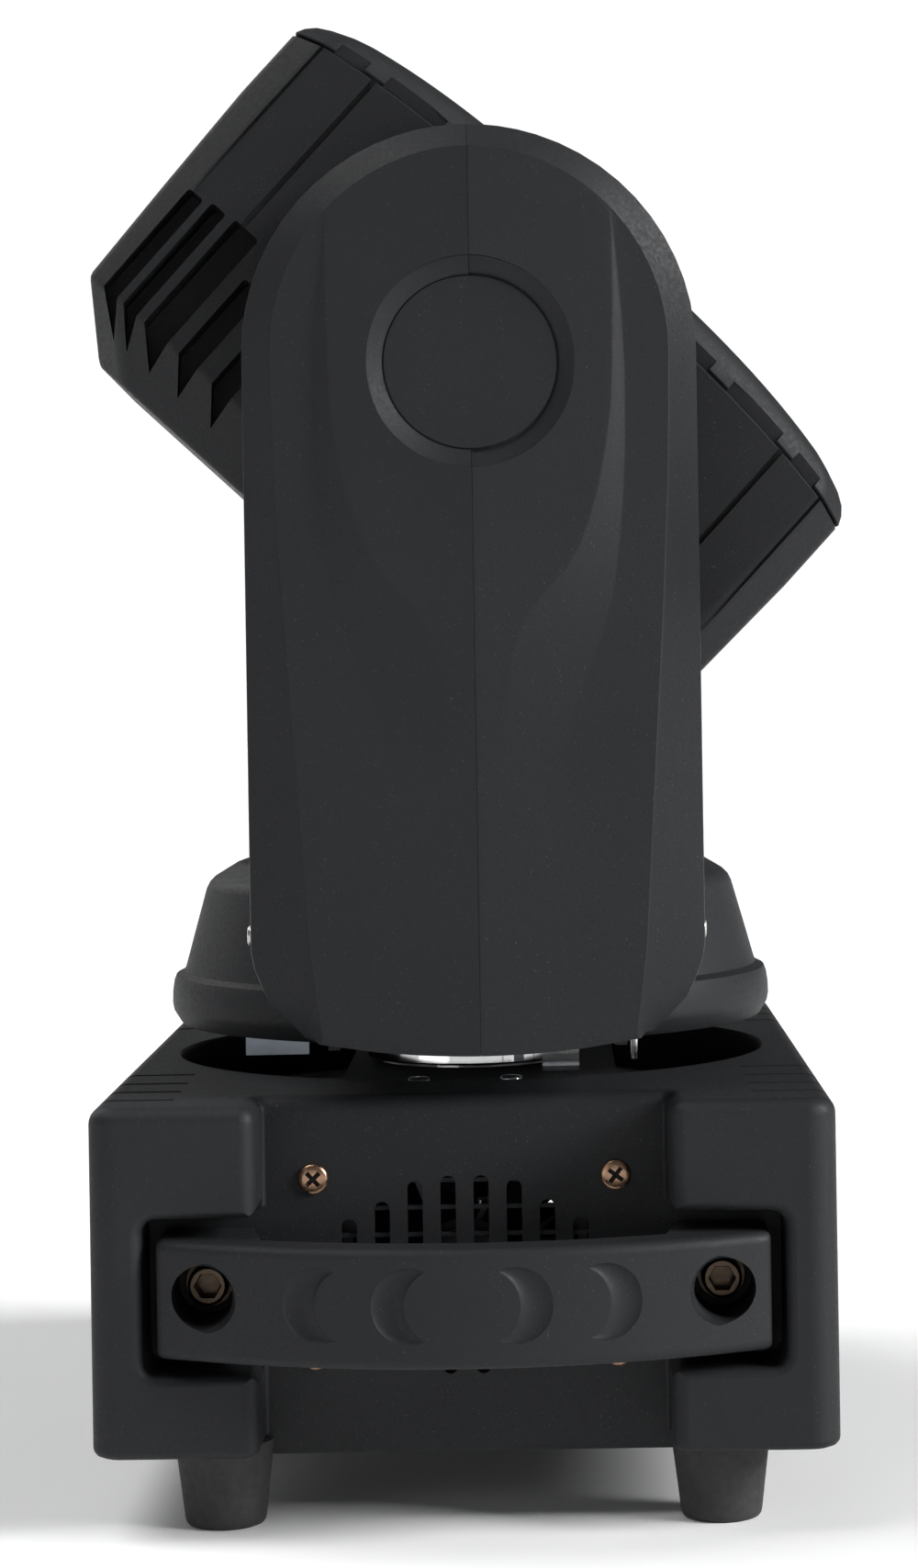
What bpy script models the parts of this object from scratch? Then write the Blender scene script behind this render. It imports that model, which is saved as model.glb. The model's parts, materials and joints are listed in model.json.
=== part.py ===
"""Moving head wash light: a base with two carrying handles, a yoke that pans on it, and a head that tilts.

Metres, +Z up.  The origin is on the floor, on the pan axis.  +X is the front (display side), -X the rear
(connector side), -Y the right and +Y the left.  The tilt axis runs along Y through the two yoke arms.
The head is drawn in its own frame (local Z along the beam) and hangs on the tilt pivot at its rest angle.
"""
import math

import bmesh
import bpy

GAP = 0.0003                      # clearance between pieces that touch
WALL = 0.003                      # moulded wall thickness
FINE, MEDIUM, COARSE = 32, 20, 10  # sides of large, middling and small round shapes

# Base
BASE_HALF_X = 0.120
BASE_HALF_Y = 0.172
BASE_BOTTOM = 0.028
BASE_TOP = 0.139
BLOCK_INNER_X = 0.066             # where the corner blocks start
RECESS_Y = 0.144                  # face of the side recess
CORNER_R = 0.010
FILLET_R = 0.006
WELL_R = 0.106                    # round well in the top that the yoke turns over
WELL_FLOOR = 0.121
BELLY_BOTTOM = 0.023
FOOT_X, FOOT_Y = 0.081, 0.142
FOOT_R_TOP, FOOT_R_LOW = 0.0150, 0.0123
FOOT_TOP = BASE_BOTTOM - GAP
PANEL_HALF_Y = 0.108              # display panel and connector panel
PANEL_LOW, PANEL_HIGH = 0.042, 0.126
PANEL_FACE = BASE_HALF_X - WALL - GAP
PANEL_THICK = 0.0027
WINDOW_MARGIN = 0.006

# Handles
HANDLE_HALF_X = 0.098
HANDLE_LOW, HANDLE_HIGH = 0.0592, 0.0970
HANDLE_BOW = 0.026                # how far the grip stands out of the blocks
HANDLE_THICK = 0.017
POCKET_HALF_X = 0.103
POCKET_LOW, POCKET_HIGH = 0.0535, 0.1035
BOLT_X, BOLT_Z = 0.083, 0.0808
BOLT_HEAD_R, BOLT_SHANK_R = 0.0065, 0.004
BOLT_SEAT_Y = 0.155               # bottom of the counterbore
COUNTERBORE_R = 0.0095

# Side vents and fans
VENT_Z = 0.081
VENT_PITCH = 0.0108
VENT_WIDTH = 0.0050
VENT_HALF_HEIGHTS = (0.0314, 0.0299, 0.0232, 0.0177)   # columns from the centre outwards
FAN_HALF = 0.040
FAN_DEPTH = 0.025

# Pan drive
PAN_PLATE_X = (-0.044, 0.052)
PAN_PLATE_HALF_Y = 0.091
PAN_PLATE_TOP = 0.135
POST_X, POST_Y, POST_HALF = 0.037, 0.082, 0.006
SHAFT_R, SHAFT_BORE_R = 0.024, 0.017
FLANGE_R = 0.038
PULLEY_R, MOTOR_PULLEY_R = 0.036, 0.009    # belt ratio 4 on both axes
PULLEY_FLANGE = 0.0025
BELT_THICK = 0.0016
PAN_MOTOR_X = -0.075
PAN_MOTOR_HALF = 0.0285
PAN_MOTOR_TOP = 0.083
PAN_PULLEY_LOW, PAN_PULLEY_HIGH = 0.088, 0.098
FLAG_PIN_AT = (0.057, -0.044)

# Yoke
TURRET_BOTTOM = 0.151
FRAME_PLATE_LOW = 0.1533
FRAME_THICK = 0.003
FRAME_HALF_X = 0.040
FRAME_Y = 0.124                   # inner face of the steel uprights
FRAME_TOP = 0.412
ARM_INNER_Y, ARM_OUTER_Y = 0.117, 0.158
ARM_BAND_Y = 0.148                # where the bevelled band round the arm starts
ARM_HALF_X = 0.074
ARM_ARC_Z = 0.381                 # centre of the round arm top
ARM_BOTTOM = 0.1526
TILT_Z = 0.377
NECK_HALF_X = 0.050
NECK_TOP = 0.203
BEARING_R, TILT_SHAFT_R, TILT_BORE_R = 0.022, 0.014, 0.009
TILT_PULLEY_NEAR, TILT_PULLEY_FAR = 0.130, 0.140
TILT_MOTOR_Z = 0.178
TILT_MOTOR_HALF = 0.021

# Head, in its own frame: local X across, local Y along the tilt axis, local Z along the beam
REST_PAN, REST_TILT = math.radians(2.3), math.radians(43)
HEAD_CENTRE = (0.0035, 0.0, 0.0)  # the head sits slightly off the tilt axis
HEAD_HALF_X, HEAD_HALF_Y = 0.1245, 0.112
HEAD_BACK = -0.0808
HEAD_SHOULDER = -0.060            # where the bevel round the back starts
HEAD_BACK_HALF_X = 0.102
HEAD_SEAM = 0.046
HEAD_CORNER_R = 0.014
BEZEL_LOW, BEZEL_ARCH, ARCH_POWER = 0.0545, 0.0137, 3
LENS_OPENING_R = 0.098
LENS_PLATE_R = 0.0972
LENS_PITCH, LENS_R = 0.039, 0.0170
LENS_RINGS = 2
LENS_PLATE_Z = (0.0520, 0.0545)
SLOTS = ((0.1143, 0.1077, 0.1002), (0.1050, 0.0989, 0.0942), (0.0955, 0.0850, 0.0839),
         (0.0800, 0.0718, 0.0711), (0.0650, 0.0567, 0.0560))    # outer wall, inner wall and tip
SLOT_TOP, SLOT_TIP = -0.015, -0.0715
SLOT_DEPTH = 0.022

FINISHES = {                      # colour, roughness, metallic
    "moulded_black": ((0.030, 0.032, 0.036), 0.60, 0.0),
    "gloss_black": ((0.015, 0.015, 0.017), 0.20, 0.0),
    "painted_black": ((0.020, 0.021, 0.023), 0.45, 0.2),
    "rubber_black": ((0.018, 0.018, 0.019), 0.85, 0.0),
    "zinc_steel": ((0.55, 0.56, 0.58), 0.35, 1.0),
    "bright_steel": ((0.75, 0.76, 0.78), 0.16, 1.0),
    "aluminium": ((0.62, 0.63, 0.65), 0.38, 1.0),
    "bronzed_steel": ((0.30, 0.24, 0.18), 0.38, 1.0),
    "green_board": ((0.02, 0.16, 0.07), 0.50, 0.0),
    "white_board": ((0.80, 0.80, 0.78), 0.50, 0.0),
    "screen_glass": ((0.010, 0.015, 0.030), 0.08, 0.0),
    "lens_acrylic": ((0.70, 0.74, 0.78), 0.05, 0.0),
}

TURNS = {"X": (0.0, math.pi / 2, 0.0), "Y": (-math.pi / 2, 0.0, 0.0), "Z": (0.0, 0.0, 0.0)}


# ---------------------------------------------------------------- shared shapes

def clear_scene():
    for obj in list(bpy.data.objects):
        bpy.data.objects.remove(obj, do_unlink=True)


def own_material(name, kind):
    colour, roughness, metallic = FINISHES[kind]
    material = bpy.data.materials.new(name + "_finish")
    material.use_nodes = True
    shader = material.node_tree.nodes["Principled BSDF"]
    shader.inputs["Base Color"].default_value = (*colour, 1.0)
    shader.inputs["Roughness"].default_value = roughness
    shader.inputs["Metallic"].default_value = metallic
    material.diffuse_color = (*colour, 1.0)
    return material


def place(name, bm, kind=None, parent=None, at=(0, 0, 0), along="Z"):
    """Turn a bmesh into a named object; without a finish it is a cutter or an added block."""
    bmesh.ops.recalc_face_normals(bm, faces=bm.faces)
    mesh = bpy.data.meshes.new(name)
    bm.to_mesh(mesh)
    bm.free()
    mesh.shade_smooth()
    mesh.set_sharp_from_angle(angle=math.radians(32))
    obj = bpy.data.objects.new(name, mesh)
    bpy.context.scene.collection.objects.link(obj)
    obj.location = at
    obj.rotation_euler = TURNS[along]
    obj.parent = parent
    if kind:
        mesh.materials.append(own_material(name, kind))
    else:
        obj.hide_render = True
        obj.display_type = "WIRE"
    return obj


def combine(target, bm, operation="DIFFERENCE"):
    """Cut a bmesh out of an object, or join it on, in the object's own frame."""
    count = len(target.modifiers) + 1
    tool = place(f"{target.name}_tool_{count}", bm, parent=target.parent, at=target.location)
    tool.rotation_euler = target.rotation_euler
    modifier = target.modifiers.new(f"step_{count}", "BOOLEAN")
    modifier.operation = operation
    modifier.solver = "EXACT"
    modifier.object = tool
    return tool


def loft(sections, closed=False, bm=None):
    """Skin loops of equal length one after another; closed joins the last to the first as a ring."""
    bm = bm or bmesh.new()
    rings = [[bm.verts.new(point) for point in section] for section in sections]
    count = len(rings[0])
    followers = rings[1:] + ([rings[0]] if closed else [])
    for ring, following in zip(rings, followers):
        for i in range(count):
            j = (i + 1) % count
            bm.faces.new((ring[i], ring[j], following[j], following[i]))
    if not closed:
        bm.faces.new(rings[0])
        bm.faces.new(rings[-1])
    return bm


def lay(outline, level, axis="Z"):
    """Place a flat outline of (a, b) points at a level along an axis, with (a, b) in X, Y, Z order."""
    if axis == "X":
        return [(level, a, b) for a, b in outline]
    if axis == "Y":
        return [(a, level, b) for a, b in outline]
    return [(a, b, level) for a, b in outline]


def prism(outline, low, high, axis="Z", bm=None):
    return loft([lay(outline, low, axis), lay(outline, high, axis)], bm=bm)


def box(x, y, z, bm=None):
    """A box from three (low, high) pairs."""
    corners = [(x[0], y[0]), (x[1], y[0]), (x[1], y[1]), (x[0], y[1])]
    return prism(corners, z[0], z[1], bm=bm)


def arc(centre, radius, start, end, steps):
    """Points on an arc, angles in degrees."""
    angles = [math.radians(start + (end - start) * i / steps) for i in range(steps + 1)]
    return [(centre[0] + radius * math.cos(t), centre[1] + radius * math.sin(t)) for t in angles]


def circle(radius, count=MEDIUM, centre=(0, 0)):
    return arc(centre, radius, 0, 360, count)[:-1]


def rounded_rectangle(half_a, half_b, radius, steps=3, side_points=0):
    """Rounded rectangle; side_points adds that many evenly spaced points along each side."""
    points = []
    straight_a, straight_b = half_a - radius, half_b - radius
    for sign_a, sign_b, start in ((1, 1, 0), (-1, 1, 90), (-1, -1, 180), (1, -1, 270)):
        points += arc((sign_a * straight_a, sign_b * straight_b), radius, start, start + 90, steps)
        for i in range(1, side_points + 1):
            t = 1 - 2 * i / (side_points + 1)
            if start in (0, 180):
                points.append((sign_a * straight_a * t, sign_b * half_b))
            else:
                points.append((sign_a * half_a, sign_b * straight_b * t))
    return points


def turned(profile, segments=MEDIUM, closed=False, bm=None):
    """Turn (radius, height) points about local Z; closed makes a ring with a hole through it."""
    return loft([lay(circle(r, segments), z) for r, z in profile], closed, bm)


def tube(radius, bore, low, high, segments=MEDIUM):
    profile = [(radius, low), (radius, high), (bore, high), (bore, low)]
    return turned(profile, segments, closed=True)


def mirrored_sides():
    """The right side is -Y, the left side is +Y."""
    return (("right", -1), ("left", 1))


# ---------------------------------------------------------------- base

def base_outline(inset=0.0):
    """Plan of the base: a rectangle with a shallow recess in the middle of each long side."""
    corner = (BASE_HALF_X - CORNER_R, BASE_HALF_Y - CORNER_R)
    inner_corner = (BLOCK_INNER_X + CORNER_R, BASE_HALF_Y - CORNER_R)
    fillet = (BLOCK_INNER_X - FILLET_R, RECESS_Y + FILLET_R)
    quarter = arc(corner, CORNER_R - inset, 0, 90, 3)
    quarter += arc(inner_corner, CORNER_R - inset, 90, 180, 3)
    quarter += arc(fillet, FILLET_R + inset, 0, -90, 2)
    left = quarter + [(-x, y) for x, y in reversed(quarter)]
    return left + [(-x, -y) for x, y in left]


def base_cavity():
    """Inside of the base housing, kept clear of the well and of the handle pockets."""
    cavity = place("base_cavity", prism(base_outline(WALL), BASE_BOTTOM - 0.01, BASE_TOP - WALL))
    combine(cavity, turned([(WELL_R + WALL, WELL_FLOOR - WALL), (WELL_R + WALL, BASE_TOP + 0.01)], FINE))
    for _, side in mirrored_sides():
        pocket_y = sorted((side * (RECESS_Y - WALL), side * (BASE_HALF_Y + 0.01)))
        width = POCKET_HALF_X + WALL
        combine(cavity, box((-width, width), pocket_y, (POCKET_LOW - WALL, POCKET_HIGH + WALL)))
    return cavity


def vent_slots(side):
    """Columns of upright slots whose heights fill a round field."""
    bm = bmesh.new()
    deep = sorted((side * (RECESS_Y - 2 * WALL), side * (RECESS_Y + WALL)))
    for column, half_height in enumerate(VENT_HALF_HEIGHTS):
        for sign in (-1, 1):
            x = sign * (column + 0.5) * VENT_PITCH
            straight = half_height - VENT_WIDTH / 2
            outline = arc((x, VENT_Z + straight), VENT_WIDTH / 2, 0, 180, 2)
            outline += arc((x, VENT_Z - straight), VENT_WIDTH / 2, 180, 360, 2)
            prism(outline, *deep, axis="Y", bm=bm)
    return bm


def build_base_housing():
    levels = ((BASE_BOTTOM, 0.0015), (BASE_BOTTOM + 0.0015, 0.0), (BASE_TOP - 0.005, 0.0),
              (BASE_TOP - 0.0015, 0.0015), (BASE_TOP, 0.005))
    housing = place("base_housing", loft([lay(base_outline(inset), z) for z, inset in levels]),
                    "moulded_black")
    cut = housing.modifiers.new("cavity", "BOOLEAN")
    cut.solver = "EXACT"
    cut.object = base_cavity()
    combine(housing, turned([(WELL_R, WELL_FLOOR), (WELL_R, BASE_TOP + 0.01)], FINE))
    opening_x = (PAN_PLATE_X[0] + 0.0008, PAN_PLATE_X[1] - 0.0008)
    opening_y = PAN_PLATE_HALF_Y - 0.002
    combine(housing, box(opening_x, (-opening_y, opening_y), (WELL_FLOOR - 2 * WALL, WELL_FLOOR + WALL)))
    window_y = PANEL_HALF_Y - WINDOW_MARGIN
    window_z = (PANEL_LOW + WINDOW_MARGIN, PANEL_HIGH - WINDOW_MARGIN)
    reach = BASE_HALF_X + 0.01
    combine(housing, box((-reach, -reach + 0.02), (-window_y, window_y), window_z))
    combine(housing, box((reach - 0.02, reach), (-window_y, window_y), window_z))
    for _, side in mirrored_sides():
        pocket_y = sorted((side * RECESS_Y, side * (BASE_HALF_Y + 0.01)))
        pocket = box((-POCKET_HALF_X, POCKET_HALF_X), pocket_y, (POCKET_LOW, POCKET_HIGH))
        combine(housing, pocket)
        combine(housing, vent_slots(side))
        holes = bmesh.new()
        deep = sorted((side * (RECESS_Y - 2 * WALL), side * (RECESS_Y + WALL)))
        for x in (-BOLT_X, BOLT_X):
            prism(circle(BOLT_SHANK_R + GAP, COARSE, (x, BOLT_Z)), *deep, axis="Y", bm=holes)
        combine(housing, holes)


def build_base_tray():
    """Folded steel tray with a belly between the feet and four posts that carry the pan plate."""
    margin = WALL + 0.0005
    floor_top = BASE_BOTTOM + 0.002
    tray = place("base_tray", prism(base_outline(margin), BASE_BOTTOM, 0.038), "painted_black")
    combine(tray, prism(base_outline(margin + 0.0015), floor_top, 0.050))
    belly_x, belly_y = BLOCK_INNER_X - 0.001, RECESS_Y - margin
    combine(tray, box((-belly_x, belly_x), (-belly_y, belly_y), (BELLY_BOTTOM, BASE_BOTTOM + 0.001)), "UNION")
    belly_x -= 0.002
    belly_y -= 0.002
    combine(tray, box((-belly_x, belly_x), (-belly_y, belly_y), (BELLY_BOTTOM + 0.002, 0.037)))
    posts = bmesh.new()
    for x in (-POST_X, POST_X):
        for y in (-POST_Y, POST_Y):
            post_x, post_y = (x - POST_HALF, x + POST_HALF), (y - POST_HALF, y + POST_HALF)
            box(post_x, post_y, (BELLY_BOTTOM + 0.001, WELL_FLOOR), bm=posts)
    combine(tray, posts, "UNION")


def build_feet():
    profile = [(FOOT_R_LOW - 0.001, 0), (FOOT_R_LOW, 0.001), (FOOT_R_TOP, FOOT_TOP)]
    for end, x in (("front", FOOT_X), ("rear", -FOOT_X)):
        for side_name, side in mirrored_sides():
            place(f"foot_{side_name}_{end}", turned(profile, MEDIUM), "rubber_black",
                  at=(x, side * FOOT_Y, 0))


def handle_outline(side):
    """Plan of a handle: end blocks that sit in the pockets and a bowed grip between them."""
    face, bowed = BASE_HALF_Y, BASE_HALF_Y + HANDLE_BOW
    steps = 8
    outer = []
    inner = []
    for i in range(steps + 1):
        t = -1 + 2 * i / steps
        outer.append((t * HANDLE_HALF_X, face + (bowed - face) * (1 - t * t)))
        inner.append((-t * 0.064, face - HANDLE_THICK + (bowed - face) * (1 - t * t)))
    foot_y = RECESS_Y + GAP
    points = outer + [(HANDLE_HALF_X, foot_y), (0.069, foot_y)] + inner
    points += [(-0.069, foot_y), (-HANDLE_HALF_X, foot_y)]
    return [(x, side * y) for x, y in points]


def build_handles():
    for name, side in mirrored_sides():
        handle = place(f"handle_{name}", prism(handle_outline(side), HANDLE_LOW, HANDLE_HIGH), "moulded_black")
        rounding = handle.modifiers.new("rounded_edges", "BEVEL")
        rounding.width = 0.003
        rounding.segments = 1
        rounding.limit_method = "ANGLE"
        rounding.angle_limit = math.radians(50)
        holes = bmesh.new()
        for x in (-BOLT_X, BOLT_X):
            deep = sorted((side * (BOLT_SEAT_Y + GAP), side * (BASE_HALF_Y + 0.03)))
            prism(circle(COUNTERBORE_R, COARSE, (x, BOLT_Z)), *deep, axis="Y", bm=holes)
        combine(handle, holes)
        shanks = bmesh.new()
        for x in (-BOLT_X, BOLT_X):
            deep = sorted((side * (RECESS_Y - 0.01), side * (BOLT_SEAT_Y + 0.002)))
            prism(circle(BOLT_SHANK_R + GAP, COARSE, (x, BOLT_Z)), *deep, axis="Y", bm=shanks)
        combine(handle, shanks)
        for end, x in (("front", BOLT_X), ("rear", -BOLT_X)):
            build_handle_bolt(f"handle_bolt_{name}_{end}", x, side)


def build_handle_bolt(name, x, side):
    """Socket cap screw, drawn along local Z with its head towards the outside."""
    head_low = BOLT_SEAT_Y + 2 * GAP
    head_high = head_low + 0.008
    profile = [(BOLT_SHANK_R, RECESS_Y - 0.006), (BOLT_SHANK_R, head_low), (BOLT_HEAD_R, head_low),
               (BOLT_HEAD_R, head_high - 0.0008), (BOLT_HEAD_R - 0.0008, head_high)]
    bolt = place(name, turned(profile, COARSE), "bronzed_steel", at=(x, 0, BOLT_Z), along="Y")
    if side < 0:
        bolt.rotation_euler = (math.pi / 2, 0, 0)
    combine(bolt, prism(circle(0.0034, 6), head_high - 0.004, head_high + 0.004))


def build_display():
    """Display panel with its screen and four menu buttons, on the front of the base."""
    panel_x = (PANEL_FACE - PANEL_THICK, PANEL_FACE)
    panel = place("display_panel", box(panel_x, (-PANEL_HALF_Y, PANEL_HALF_Y), (PANEL_LOW, PANEL_HIGH)),
                  "gloss_black")
    screen_half_y, screen_half_z, screen_y, screen_z = 0.032, 0.017, -0.020, 0.086
    cut_x = (panel_x[0] - 0.005, panel_x[1] + 0.005)
    holes = box(cut_x, (screen_y - screen_half_y - GAP, screen_y + screen_half_y + GAP),
                (screen_z - screen_half_z - GAP, screen_z + screen_half_z + GAP))
    spots = [(0.036 + 0.016 * column, 0.078 + 0.016 * row) for column in (0, 1) for row in (0, 1)]
    for spot in spots:
        prism(circle(0.0045, COARSE, spot), *cut_x, axis="X", bm=holes)
    combine(panel, holes)

    def frame(half_y, half_z, x):
        outline = [(-half_y, -half_z), (half_y, -half_z), (half_y, half_z), (-half_y, half_z)]
        return lay([(screen_y + a, screen_z + b) for a, b in outline], x, "X")

    behind = panel_x[0] - GAP
    place("display_screen", loft([frame(0.037, 0.022, behind - 0.005), frame(0.037, 0.022, behind),
                                  frame(screen_half_y, screen_half_z, behind),
                                  frame(screen_half_y, screen_half_z, panel_x[1] - 0.0005)]), "screen_glass")
    profile = [(0.0055, -0.0028), (0.0055, -0.0016), (0.0042, -0.0016), (0.0042, 0.0040), (0.0036, 0.0046)]
    for number, (y, z) in enumerate(spots, 1):
        place(f"menu_button_{number}", turned(profile, COARSE), "rubber_black", at=(panel_x[0], y, z), along="X")


def build_connectors():
    """Connector panel with the mains inlet and the two data sockets, on the rear of the base."""
    outside, inside = -PANEL_FACE, -PANEL_FACE + PANEL_THICK
    panel = place("rear_panel", box((outside, inside), (-PANEL_HALF_Y, PANEL_HALF_Y), (PANEL_LOW, PANEL_HIGH)),
                  "painted_black")
    inlet_y, socket_z, data_y = 0.062, 0.080, (-0.052, -0.086)
    cut_x = (outside - 0.005, inside + 0.005)
    holes = box(cut_x, (inlet_y - 0.0143, inlet_y + 0.0143), (socket_z - 0.0113, socket_z + 0.0113))
    for y in data_y:
        prism(circle(0.0118, COARSE, (y, socket_z)), *cut_x, axis="X", bm=holes)
    combine(panel, holes)

    face = outside - GAP
    front = face - 0.0022

    def inlet_section(half_y, half_z, x):
        return lay([(inlet_y + a, socket_z + b) for a, b in rounded_rectangle(half_y, half_z, 0.003, 1)], x, "X")

    inlet = place("power_inlet", loft([inlet_section(0.0250, 0.0145, front), inlet_section(0.0250, 0.0145, face),
                                       inlet_section(0.0140, 0.0110, face), inlet_section(0.0140, 0.0110, -0.096)]),
                  "gloss_black")
    combine(inlet, box((front - 0.005, -0.1005), (inlet_y - 0.012, inlet_y + 0.012),
                       (socket_z - 0.0085, socket_z + 0.0085)))
    blades = bmesh.new()
    for y, z in ((-0.007, -0.002), (0.0, 0.003), (0.007, -0.002)):
        box((-0.1110, -0.0995), (inlet_y + y - 0.001, inlet_y + y + 0.001),
            (socket_z + z - 0.002, socket_z + z + 0.002), bm=blades)
    combine(inlet, blades, "UNION")

    for name, y in zip(("dmx_in", "dmx_out"), data_y):
        plate = rounded_rectangle(0.0130, 0.0155, 0.003, 1)
        socket = place(name, prism([(y + a, socket_z + b) for a, b in plate], front, face, axis="X"),
                       "zinc_steel")
        combine(socket, prism(circle(0.0115, COARSE, (y, socket_z)), front + 0.001, -0.098, axis="X"), "UNION")
        pins = [(y + 0.0045 * math.cos(t), socket_z + 0.0045 * math.sin(t))
                for t in (math.radians(a) for a in (90, 210, 330))]
        tools = bmesh.new()
        if name == "dmx_in":
            combine(socket, prism(circle(0.0092, COARSE, (y, socket_z)), front - 0.005, -0.1035, axis="X"))
            for pin in pins:
                prism(circle(0.0012, 6, pin), -0.1120, -0.1025, axis="X", bm=tools)
            combine(socket, tools, "UNION")
        else:
            for pin in pins:
                prism(circle(0.0015, 6, pin), front - 0.005, -0.1080, axis="X", bm=tools)
            combine(socket, tools)


def build_electronics():
    supply = place("power_supply", box((0.056, 0.094), (-0.095, 0.095), (0.0303, 0.112)), "aluminium")
    combine(supply, box((0.050, 0.080), (-0.100, -0.080), (0.080, 0.120)))
    board = place("control_board", box((0.1000, 0.1016), (-0.060, 0.060), (0.046, 0.112)), "green_board")
    chips = bmesh.new()
    for y, z, half in ((-0.035, 0.070, 0.010), (0.000, 0.085, 0.014), (0.038, 0.066, 0.008)):
        box((0.1010, 0.1040), (y - half, y + half), (z - half, z + half), bm=chips)
    combine(board, chips, "UNION")


def fan_frame(name, kind, parent, at, along, half, depth):
    """Square fan frame with a round duct, a motor boss and four stays; local Z is the fan axis."""
    count = MEDIUM
    duct = circle(half - 0.0015, count)
    square = []
    for a, b in circle(1.0, count):
        reach = half / max(abs(a), abs(b))
        square.append((a * reach, b * reach))
    sections = [lay(square, 0), lay(square, depth), lay(duct, depth), lay(duct, 0)]
    frame = place(name, loft(sections, closed=True), kind, parent, at, along)
    combine(frame, turned([(0.014, 0.0005), (0.014, 0.003)], COARSE), "UNION")
    stay = half - 0.001
    combine(frame, box((-stay, stay), (-0.0015, 0.0015), (0.0008, 0.0027)), "UNION")
    combine(frame, box((-0.0015, 0.0015), (-stay, stay), (0.0009, 0.0026)), "UNION")
    return frame


def fan_rotor(name, kind, parent, at, along, half, depth):
    """Hub and seven pitched blades, turning about local Z in front of the motor boss."""
    low, high = 0.0045, depth - 0.0015
    tip, root, hub_r = half - 0.0035, 0.0145, 0.0165
    rotor = place(name, turned([(hub_r, low), (hub_r, high - 0.001), (hub_r - 0.001, high)], 14), kind,
                  parent, at, along)
    blades = bmesh.new()
    middle, reach, lean, thin = (low + high) / 2, (high - low) / 2 - 0.0015, 0.0065, 0.0009
    for number in range(7):
        angle = 2 * math.pi * number / 7
        across, out = (-math.sin(angle), math.cos(angle)), (math.cos(angle), math.sin(angle))
        sections = []
        for radius in (root, tip):
            spread = lean * (1.0 if radius == root else 1.5)
            corners = ((-spread - thin, -reach), (-spread + thin, -reach), (spread + thin, reach),
                       (spread - thin, reach))
            sections.append([(out[0] * radius + across[0] * a, out[1] * radius + across[1] * a, middle + b)
                             for a, b in corners])
        loft(sections, bm=blades)
    combine(rotor, blades, "UNION")
    return rotor


def build_base_fans():
    """One fan behind each side vent, blowing through it; the stays are on the vent side."""
    inner_face = RECESS_Y - WALL - GAP
    for name, side in mirrored_sides():
        at = (0, side * inner_face, VENT_Z)
        along = "Y"
        frame = fan_frame(f"base_fan_frame_{name}", "gloss_black", None, at, along, FAN_HALF, FAN_DEPTH)
        rotor = fan_rotor(f"base_fan_rotor_{name}", "painted_black", None, at, along, FAN_HALF, FAN_DEPTH)
        if side > 0:
            for piece in (frame, rotor):
                turn_with_tools(piece, (math.pi / 2, 0, 0))


def turn_with_tools(piece, rotation):
    """Give an object and the shapes combined with it the same rotation."""
    piece.rotation_euler = rotation
    for modifier in piece.modifiers:
        if modifier.type == "BOOLEAN":
            modifier.object.rotation_euler = rotation


# ---------------------------------------------------------------- drives

def belt_loop(far, small_r, big_r, steps=10):
    """Open outline of a belt round a big pulley at the origin and a small one at -far on the first axis."""
    wrap = math.degrees(math.acos((big_r - small_r) / far))
    points = arc((0, 0), big_r, wrap - 180, 180 - wrap, 2 * steps)
    return points + arc((-far, 0), small_r, 180 - wrap, 180 + wrap, steps)


def belt(name, far, lift, low, high, parent=None, upright=False):
    """Toothless stand-in loop of a toothed belt, clear of both pulleys."""
    def loop(extra, level):
        points = belt_loop(far, MOTOR_PULLEY_R + extra, PULLEY_R + extra)
        if upright:
            return [(b, level, lift + a) for a, b in points]
        return [(a, b, level) for a, b in points]

    thick = GAP + BELT_THICK
    sections = [loop(thick, low), loop(thick, high), loop(GAP, high), loop(GAP, low)]
    return place(name, loft(sections, closed=True), "rubber_black", parent)


def pulley(name, radius, bore, width, parent, at, along):
    """Belt wheel with a flange on each side; local Z runs from its near side to its far side."""
    rim = radius + PULLEY_FLANGE
    edge = 0.0012
    profile = [(rim, 0), (rim, edge), (radius, edge), (radius, width - edge), (rim, width - edge),
               (rim, width), (bore, width), (bore, 0)]
    sides = MEDIUM if radius > 0.02 else COARSE
    return place(name, turned(profile, sides, closed=True), "aluminium", parent, at, along)


def stepper(name, half, low, high, shaft_end, parent, at, along):
    """Square stepper motor with bevelled corners and its shaft along local Z."""
    body = loft([lay(rounded_rectangle(half, half, 0.005, 1), z) for z in (low, high)])
    motor = place(name, body, "painted_black", parent, at, along)
    combine(motor, turned([(0.011, high - 0.001), (0.011, high + 0.002)], COARSE), "UNION")
    combine(motor, turned([(0.004, high), (0.004, shaft_end)], COARSE), "UNION")
    return motor


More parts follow.
